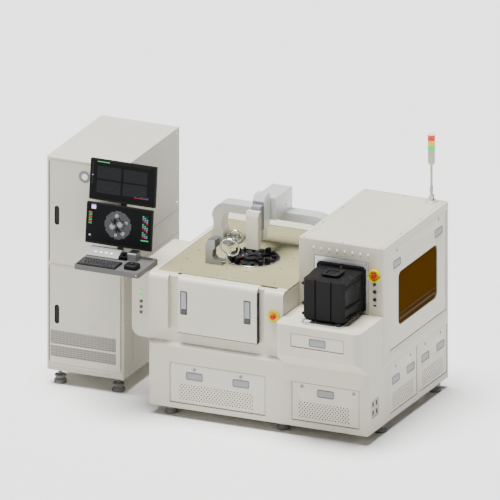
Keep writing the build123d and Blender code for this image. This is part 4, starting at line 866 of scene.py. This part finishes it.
topScrews = {
    "table_plate": (1077, 0.007, [
        (-1542, 148), (-1596, 380), (-1596, 582), (-1249, 302), (-1099, 308), (-1250, 145), (-1101, 151),
        (-805, 149), (-754, 383), (-896, 467), (-897, 695), (-1097, 996), (-1099, 860)]),
    "loader_housing": (1415, 0.006, [
        (-640, 300), (-640, 640), (-640, 980), (-640, 1390), (-27, 300), (-27, 640), (-27, 980), (-333, 300),
        (-333, 1390)]),
    "probe_card": (1078, 0.004, [
        (card["x"] + cardCircle["radius"] * math.cos(a), card["y"] + cardCircle["radius"] * math.sin(a))
        for a in cardAngles]),
}


def makeFasteners():
    for node, (facing, points) in locks.items():
        name, body = node + "_locks", bodyOf[node]
        grow(lockTree, name, body, paddleGrey, points, facing, lockSizes)
    for node, (facing, points) in screws.items():
        name, body = node + "_screws", bodyOf[node]
        grow(screwTree, name, body, brightSteel, points, facing, screwSizes)
    for node, (level, radius, places) in topScrews.items():
        points = [(x, y, level) for x, y in places]
        sizes = {"radius": radius, "height": topScrewHeight}
        name, body = node + "_topScrews", bodyOf[node]
        grow(screwTree, name, body, brightSteel, points, upward, sizes)


makeFasteners()
print("seams, latches and fasteners grown")

portLamps = {"first": -550.0, "pitch": 61.3, "count": 8, "z": 1358.0, "face": 272.0,
             "lens": {"radius": 0.0075, "proud": 0.004}}
portMarks = {"face": 274.8, "drop": 22, "size": (10, 1, 5), "tint": (0.18, 0.18, 0.18)}
consoleLamps = {"first": -2182.0, "pitch": 41.0, "count": 4, "y": 77.0, "z": 1146.5,
                "facing": (0, -0.52, 0.85), "lens": {"radius": 0.011, "proud": 0.005}}


def lampRow(lamps, y):
    return [(lamps["first"] + i * lamps["pitch"], y, lamps["z"]) for i in range(lamps["count"])]


def makeLamps():
    ports = lampRow(portLamps, portLamps["face"])
    grow(lensTree, "portLampLenses", "station", lampWhite, ports, sizes=portLamps["lens"])
    face, drop, size, tint = portMarks["face"], portMarks["drop"], portMarks["size"], portMarks["tint"]
    marks = [(x, face, z - drop, *size, tint) for x, y, z in ports]
    tiles("portLampMarks", "station", tileFlat, marks)
    row = lampRow(consoleLamps, consoleLamps["y"])
    facing, lens = consoleLamps["facing"], consoleLamps["lens"]
    grow(lensTree, "consoleLampLenses", "tray", lampPale, row, facing, lens)


makeLamps()


def makeTowerRibs():
    for index, finish in enumerate((lampGreen, lampYellow, lampRed)):
        low = tower["firstLamp"] + index * tower["lampHeight"] + tower["firstRib"]
        points = [(tower["x"], tower["y"], low + i * tower["ribPitch"]) for i in range(tower["ribs"])]
        name = f"towerRibs{index}"
        grow(ribTree, name, "signal_tower", finish, points, upward, tower["ribSize"])


makeTowerRibs()

# the foot of each screen's front face as y and z
screenFeet = {"lower_screen": (130.0, 1187.0), "upper_screen": (198.0, 1497.0)}
screen = {"middle": -2031.0, "lean": math.radians(6.6), "half": 252.0, "low": 14.0, "high": 294.0,
          "glass": 1.0, "picture": 0.55, "thick": 0.5}
inkDark, inkPanel, inkLine = (0.0022, 0.0025, 0.0030), (0.0055, 0.006, 0.007), (0.018, 0.020, 0.022)
inkGreen, inkRed, inkBlue = (0.04, 0.32, 0.10), (0.45, 0.04, 0.03), (0.05, 0.16, 0.50)
inkPurple, inkLilac = (0.30, 0.10, 0.50), (0.42, 0.36, 0.62)
inkWhite, inkPale, inkGrey = (0.55, 0.56, 0.58), (0.22, 0.22, 0.23), (0.045, 0.047, 0.05)


# a rectangle on a screen: across from its middle, up from its foot, width, height and tint
def onScreen(node, across, up, width, height, tint, depth):
    foot, lean = screenFeet[node], screen["lean"]
    y = foot[0] + depth * math.cos(lean) + up * math.sin(lean)
    z = foot[1] - depth * math.sin(lean) + up * math.cos(lean)
    return (screen["middle"] + across, y, z, width, screen["thick"], height, tint)


plots = {"x": (-110, 96), "y": (206, 102), "width": 188, "height": 92, "inset": 2, "line": 1.4,
         "points": 16, "first": -82, "step": 11, "dash": (9, 1.6), "rise": 20.8}


# one plot on the upper screen: panel, three edges and a curve of short dashes
def plotRows(u, v):
    reachUp, reachLeft = plots["height"] / 2 - plots["inset"], plots["width"] / 2 - plots["inset"]
    rows = [(u, v, plots["width"], plots["height"], inkPanel)]
    rows += [(u, v + rise, plots["width"], plots["line"], inkLine) for rise in (reachUp, -reachUp)]
    rows.append((u - reachLeft, v, plots["line"], 2 * reachUp, inkLine))
    for i in range(plots["points"]):
        rise = plots["rise"] * math.sin(i * 0.55 + u * 0.02) * math.cos(i * 0.2 + v)
        rows.append((u + plots["first"] + i * plots["step"], v + rise, *plots["dash"], inkLine))
    return rows


# a column of small marks, bars along the top, two coloured lines and four plots
def upperPicture():
    rows = [(-240, 276 - i * 19, 9, 9, inkPurple if i == 5 else inkLine) for i in range(9)]
    rows += [(-158, 284, 96, 6, inkGreen), (60, 285, 300, 5, inkPanel)]
    rows += [(150, 62, 110, 2, inkBlue), (150, 54, 110, 2, inkRed)]
    for u in plots["x"]:
        for v in plots["y"]:
            rows += plotRows(u, v)
    return rows


waferMap = {"x": -10, "y": 158, "cell": 10, "dot": 9.2, "cells": 10, "edge": 10.4, "core": 6.5}


def waferTint(i, j):
    wave = math.sin(i * 0.9 + j * 0.4) + math.cos(j * 0.8 - i * 0.3)
    core = math.hypot(i, j) < waferMap["core"] + wave
    return inkPale if core and wave > 0.9 else inkDark if core and wave < -0.5 else inkGrey


# marks on the left, a table of small cells on the right, and a round map of dies in the middle
def lowerPicture():
    rows = [(-205, 268, 34, 26, inkWhite), (-205, 286, 34, 6, inkPurple), (-228, 60, 12, 12, inkLilac)]
    rows += [(-228, 230 - i * 12, 26, 5, inkGreen if i % 3 else inkRed) for i in range(8)]
    cycle = (inkGreen, inkLine, inkBlue, inkLine, inkRed)
    for i in range(14):
        rows += [(188 + j * 16, 250 - i * 12, 12, 7, cycle[(i * 2 + j * 3) % 5]) for j in range(3)]
    rows.append((204, 72, 60, 8, inkGreen))
    cell, dot = waferMap["cell"], waferMap["dot"]
    for i in range(-waferMap["cells"], waferMap["cells"] + 1):
        for j in range(-waferMap["cells"], waferMap["cells"] + 1):
            if math.hypot(i, j) < waferMap["edge"]:
                rows.append((waferMap["x"] + i * cell, waferMap["y"] + j * cell, dot, dot, waferTint(i, j)))
    return rows


def makeScreens():
    middle, height = (screen["high"] + screen["low"]) / 2, screen["high"] - screen["low"]
    for node, picture in (("upper_screen", upperPicture()), ("lower_screen", lowerPicture())):
        glass = [onScreen(node, 0, middle, screen["half"] * 2, height, inkDark, screen["glass"])]
        tiles(node + "_glass", node, tileFlat, glass, -screen["lean"])
        rows = [onScreen(node, *row, screen["picture"]) for row in picture]
        tiles(node + "_picture", node, screenGlow, rows, -screen["lean"])


makeScreens()
print("lamps and screens lit")

keyboard = {"x": -2232.0, "y": -152.0, "width": 302.0, "depth": 136.0, "trayTop": 1118.0,
            "front": 7.0, "back": 14.0, "round": 0.002, "rim": 8.0, "columns": 14,
            "capHeight": 5.0, "capRise": 2.2, "gapX": 2.4, "gapY": 3.0}
keyRows = ([1.25, 1.25, 1.25, 6.25, 1.25, 1.25, 1.5], [2.25] + [1] * 10 + [1.75], [1.75] + [1] * 11 + [1.25],
           [1.5] + [1] * 11 + [1.5], [1] * 14)  # widths of the keys in columns, from the front row back


def makeKeyboardCase():
    x0, y0, top = keyboard["x"], keyboard["y"], keyboard["trayTop"]
    x1, y1 = x0 + keyboard["width"], y0 + keyboard["depth"]
    low, high = top + keyboard["front"], top + keyboard["back"]
    corners = [(x0, y0, top), (x1, y0, top), (x1, y1, top), (x0, y1, top),
               (x0, y0, low), (x1, y0, low), (x1, y1, high), (x0, y1, high)]
    faces = [(3, 2, 1, 0), (4, 5, 6, 7), (0, 1, 5, 4), (1, 2, 6, 5), (2, 3, 7, 6), (3, 0, 4, 7)]
    mesh = bpy.data.meshes.new("keyboardCase")
    mesh.from_pydata([spot(*corner) for corner in corners], [], faces)
    mesh.materials.append(podBlack)
    case = newPiece("keyboardCase", mesh)
    bevel = case.modifiers.new("edge", "BEVEL")
    bevel.width = keyboard["round"]
    bevel.segments = 3
    bakeModifiers(case)
    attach(case, "tray")
    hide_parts("keyboard")


def makeKeys():
    rim, bottom = keyboard["rim"], keyboard["trayTop"] + keyboard["front"] + keyboard["capRise"]
    slope = (keyboard["back"] - keyboard["front"]) / keyboard["depth"]
    pitchX = (keyboard["width"] - 2 * rim) / keyboard["columns"]
    pitchY = (keyboard["depth"] - 2 * rim) / len(keyRows)
    rows = []
    for row, widths in enumerate(keyRows):
        deep = rim + pitchY * (row + 0.5)
        x = keyboard["x"] + rim
        for width in widths:
            size = (width * pitchX - keyboard["gapX"], pitchY - keyboard["gapY"], keyboard["capHeight"])
            rows.append((x + width * pitchX / 2, keyboard["y"] + deep, bottom + slope * deep, *size))
            x += width * pitchX
    points, fields = [row[:3] for row in rows], {"tileSize": tileSizes(rows)}
    lean = {"lean": math.atan(slope)}
    grow(keyTree, "keyCaps", "tray", keyDark, points, sizes=lean, fields=fields)


makeKeyboardCase()
makeKeys()

# painted shade seen through the perforations
ventShadeTint = (0.045, 0.032, 0.018)
ventShadeSheets = {
    "ventShadeSheetLeft": ("left_cover", (-1186, 15.2, 216, 640, 1, 160)),
    "ventShadeSheetRight": ("right_cover", (-333, 15.2, 216, 450, 1, 150)),
    "ventShadeSheetSideFront": ("side_front", (-15.2, 625, 215, 1, 400, 150)),
    "ventShadeSheetSideRear": ("side_rear", (-15.2, 1145, 215, 1, 410, 150)),
}
# the slot tint below is painted shade for the openings of the slots
grille = {"left": -2630.0, "right": -2120.0, "middle": -2375, "width": 516, "plateFace": 283.7,
          "slotFace": 283.3, "thick": 0.6, "bands": ((224.0, 294.0), (320.0, 412.0)), "pitchX": 11.0,
          "pitchZ": 16.0, "rise": 4, "slot": (4.5, 11), "plateTint": (0.36, 0.35, 0.30),
          "slotShadeTint": (0.12, 0.115, 0.10)}


# painted shade: dark sheets behind the perforated fields, seen through the holes where the inside lies in
# shade
def makeVentShadeSheets():
    for name, (body, place) in ventShadeSheets.items():
        tiles(name, body, tileFlat, [(*place, ventShadeTint)])


# two slotted plates on the lower cabinet door, with each slot a dark tile of painted shade for its opening
def makeGrille():
    rows = []
    thick, (slotWidth, slotHeight) = grille["thick"], grille["slot"]
    for low, high in grille["bands"]:
        middle, height = (low + high) / 2 + grille["rise"], high - low + 2 * grille["rise"]
        plate = (grille["middle"], grille["plateFace"], middle, grille["width"], thick, height)
        rows.append((*plate, grille["plateTint"]))
        for j in range(math.ceil((high - low) / grille["pitchZ"])):
            z = low + j * grille["pitchZ"] + grille["rise"]
            for i in range(math.ceil((grille["right"] - grille["left"]) / grille["pitchX"])):
                x = grille["left"] + i * grille["pitchX"]
                rows.append((x, grille["slotFace"], z, slotWidth, thick, slotHeight, grille["slotShadeTint"]))
    tiles("doorSlots", "cabinet_lower", tileFlat, rows)


makeVentShadeSheets()
makeGrille()

socketPlate = {"face": -4.4, "y": 130, "z": 255, "stepY": 29.7, "stepZ": 32.4, "size": (1, 26, 36)}
# the gap tint is painted shadow, for the shadow gap under and beside the stage door
seamTint, doorShadowTint, markTint = (0.16, 0.155, 0.14), (0.03, 0.03, 0.028), (0.02, 0.02, 0.02)
loaderTop = {"left": -633, "right": -33, "front": 292, "back": 1400, "level": 1415, "wide": 1.6, "proud": 0.8}
# small flat pieces: body, slot, and rows of x, y, z, width, depth, height and tint
panelDetails = {
    "loaderMarks": ("station", "rack_black", [
        (-67, 274.8, 978, 24, 1, 14, markTint), (-67, 274.8, 1164, 16, 1, 4, markTint),
        (-67, 274.8, 1052, 10, 1, 3, markTint)]),
    "housingSeamsAndDoorShadow": ("station", "rack_black", [
        (-2053, 1018, 1116, 0.8, 450, 3, seamTint), (-2053, 940, 940, 0.8, 600, 3, seamTint),
        (-2053, 440, 900, 0.8, 3, 1400, seamTint), (-0.9, 330, 980, 0.8, 2, 840, seamTint),
        # painted shadow: dark strips under the stage door and along its right edge
        (-1187, 15, 655, 626, 30, 6, doorShadowTint), (-871, 15, 850, 5, 30, 380, doorShadowTint)]),
    "paneBands": ("window", "amber_pane", [
        (-6.6, 880, 790, 0.6, 640, 16, (0.03, 0.012, 0.001)),
        (-6.6, 880, 830, 0.6, 640, 6, (0.035, 0.014, 0.001))]),
    "podMark": ("pod", "pod_black", [(-330, 262.2, 1240, 12, 1, 8, (0.50, 0.20, 0.05))]),
    "dockBlock": ("dock", "silver", [(-448, -60, 916, 46, 50, 6, (0.60, 0.59, 0.55))]),
    "trayDot": ("tray", "tray_paint", [(-1760, -160, 1100, 9, 1, 9, (0.80, 0.62, 0.04))]),
}


def socketRows():
    y, z, stepY, stepZ = (socketPlate[key] for key in ("y", "z", "stepY", "stepZ"))
    return [(socketPlate["face"], y + a * stepY, z + b * stepZ, *socketPlate["size"], markTint)
            for a in (-1, 1) for b in (-1, 1)]


# the joint round the loader's top plate, as four thin bars
def topSeamRows():
    left, right, front, back = (loaderTop[key] for key in ("left", "right", "front", "back"))
    level, wide, proud = (loaderTop[key] for key in ("level", "wide", "proud"))
    x, y = (left + right) / 2, (front + back) / 2
    rows = [(x, edge, level, right - left, wide, proud, seamTint) for edge in (back, front)]
    return rows + [(edge, y, level, wide, back - front, proud, seamTint) for edge in (left, right)]


def makePanelDetails():
    tiles("socketFaces", "station", tileFlat, socketRows())
    for name, (body, slotName, rows) in panelDetails.items():
        more = topSeamRows() if name == "housingSeamsAndDoorShadow" else []
        tiles(name, body, tileFlat, more + rows)


makePanelDetails()

cardClutter = {"count": 96, "inner": 78.0, "outer": 150.0, "seed": 7, "height": (2, 9), "width": (4, 12),
               "depth": (4, 10), "sunk": 0.5}
cardTints = [(0.03, 0.03, 0.03)] * 4 + [(0.07, 0.07, 0.07)] * 3 + [(0.45, 0.45, 0.43), (0.22, 0.04, 0.02)]


def makeCardClutter():
    dice = random.Random(cardClutter["seed"])
    rows = []
    for index in range(cardClutter["count"]):
        angle, far = dice.uniform(0, math.tau), dice.uniform(cardClutter["inner"], cardClutter["outer"])
        tint = dice.choice(cardTints)
        tall = dice.uniform(*cardClutter["height"])
        x, y = card["x"] + far * math.cos(angle), card["y"] + far * math.sin(angle)
        wide, deep = dice.uniform(*cardClutter["width"]), dice.uniform(*cardClutter["depth"])
        rows.append((x, y, card["top"] + tall / 2 - cardClutter["sunk"], wide, deep, tall, tint))
    tiles("cardParts", "station", tileFlat, rows)


makeCardClutter()
print("keyboard, marks and card parts in place")

studio = {"floor": 60.0, "floorColour": (0.80, 0.80, 0.795), "world": 0.16, "sun": 10.5, "sunSoftness": 34.0,
          "sunFrom": (-0.12, -0.05, 1.0), "panel": 20.0, "panelSize": 3.0, "panelPlace": (-2.6, -4.2, 2.6),
          "panelAim": (0, 0, 0.9)}


def makeFloor():
    mesh = bpy.data.meshes.new("floor")
    half = studio["floor"] / 2
    corners = [(-half, -half, 0), (half, -half, 0), (half, half, 0), (-half, half, 0)]
    mesh.from_pydata(corners, [], [(0, 1, 2, 3)])
    mesh.materials.append(Finish("floorPale", rough=0.8, colour=studio["floorColour"]).material)
    newPiece("studioFloor", mesh)


def aimLight(name, data, place, direction):
    light = newPiece(name, data)
    light.location = place
    light.rotation_mode = "QUATERNION"
    light.rotation_quaternion = direction.to_track_quat("-Z", "Y")


# soft light from above, with a weak panel at the front left
def makeLights():
    world = bpy.data.worlds.new("studioAir")
    bpy.context.scene.world = world
    world.use_nodes = True
    air = world.node_tree.nodes["Background"]
    air.inputs["Color"].default_value = (1.0, 1.0, 1.0, 1)
    air.inputs["Strength"].default_value = studio["world"]
    sun = bpy.data.lights.new("roofLight", "SUN")
    sun.energy = studio["sun"]
    sun.angle = math.radians(studio["sunSoftness"])
    aimLight("roofLight", sun, (0, 0, 0), -Vector(studio["sunFrom"]))
    panel = bpy.data.lights.new("sidePanel", "AREA")
    panel.size = studio["panelSize"]
    panel.energy = studio["panel"]
    place = Vector(studio["panelPlace"])
    aimLight("sidePanel", panel, place, Vector(studio["panelAim"]) - place)


cameraPlace = {"azimuth": 24.3, "elevation": 19.66, "width": 3.6, "imageSide": 500,
               "cornerPixel": (367.7, 436.9), "cornerHeight": 75.0, "distance": 9.0}


# the lower right front corner of the machine falls on a known pixel, which fixes the camera's centre
def makeCamera():
    turn, rise = math.radians(cameraPlace["azimuth"]), math.radians(cameraPlace["elevation"])
    right = Vector((math.cos(turn), math.sin(turn), 0))
    back = Vector((math.sin(turn) * math.cos(rise), -math.cos(turn) * math.cos(rise), math.sin(rise)))
    up = back.cross(right)
    pixel = cameraPlace["width"] / cameraPlace["imageSide"]
    middle = cameraPlace["imageSide"] / 2
    acrossPixels = middle - cameraPlace["cornerPixel"][0]
    upPixels = cameraPlace["cornerPixel"][1] - middle
    corner = spot(0, 0, cameraPlace["cornerHeight"])
    centre = corner + right * acrossPixels * pixel + up * upPixels * pixel
    data = bpy.data.cameras.new("photoCamera")
    data.type = "ORTHO"
    data.ortho_scale = cameraPlace["width"]
    camera = newPiece("photoCamera", data)
    camera.location = centre + back * cameraPlace["distance"]
    camera.rotation_mode = "QUATERNION"
    camera.rotation_quaternion = Matrix((right, up, back)).transposed().to_quaternion()
    bpy.context.scene.camera = camera


makeFloor()
makeLights()
makeCamera()
print("studio ready")
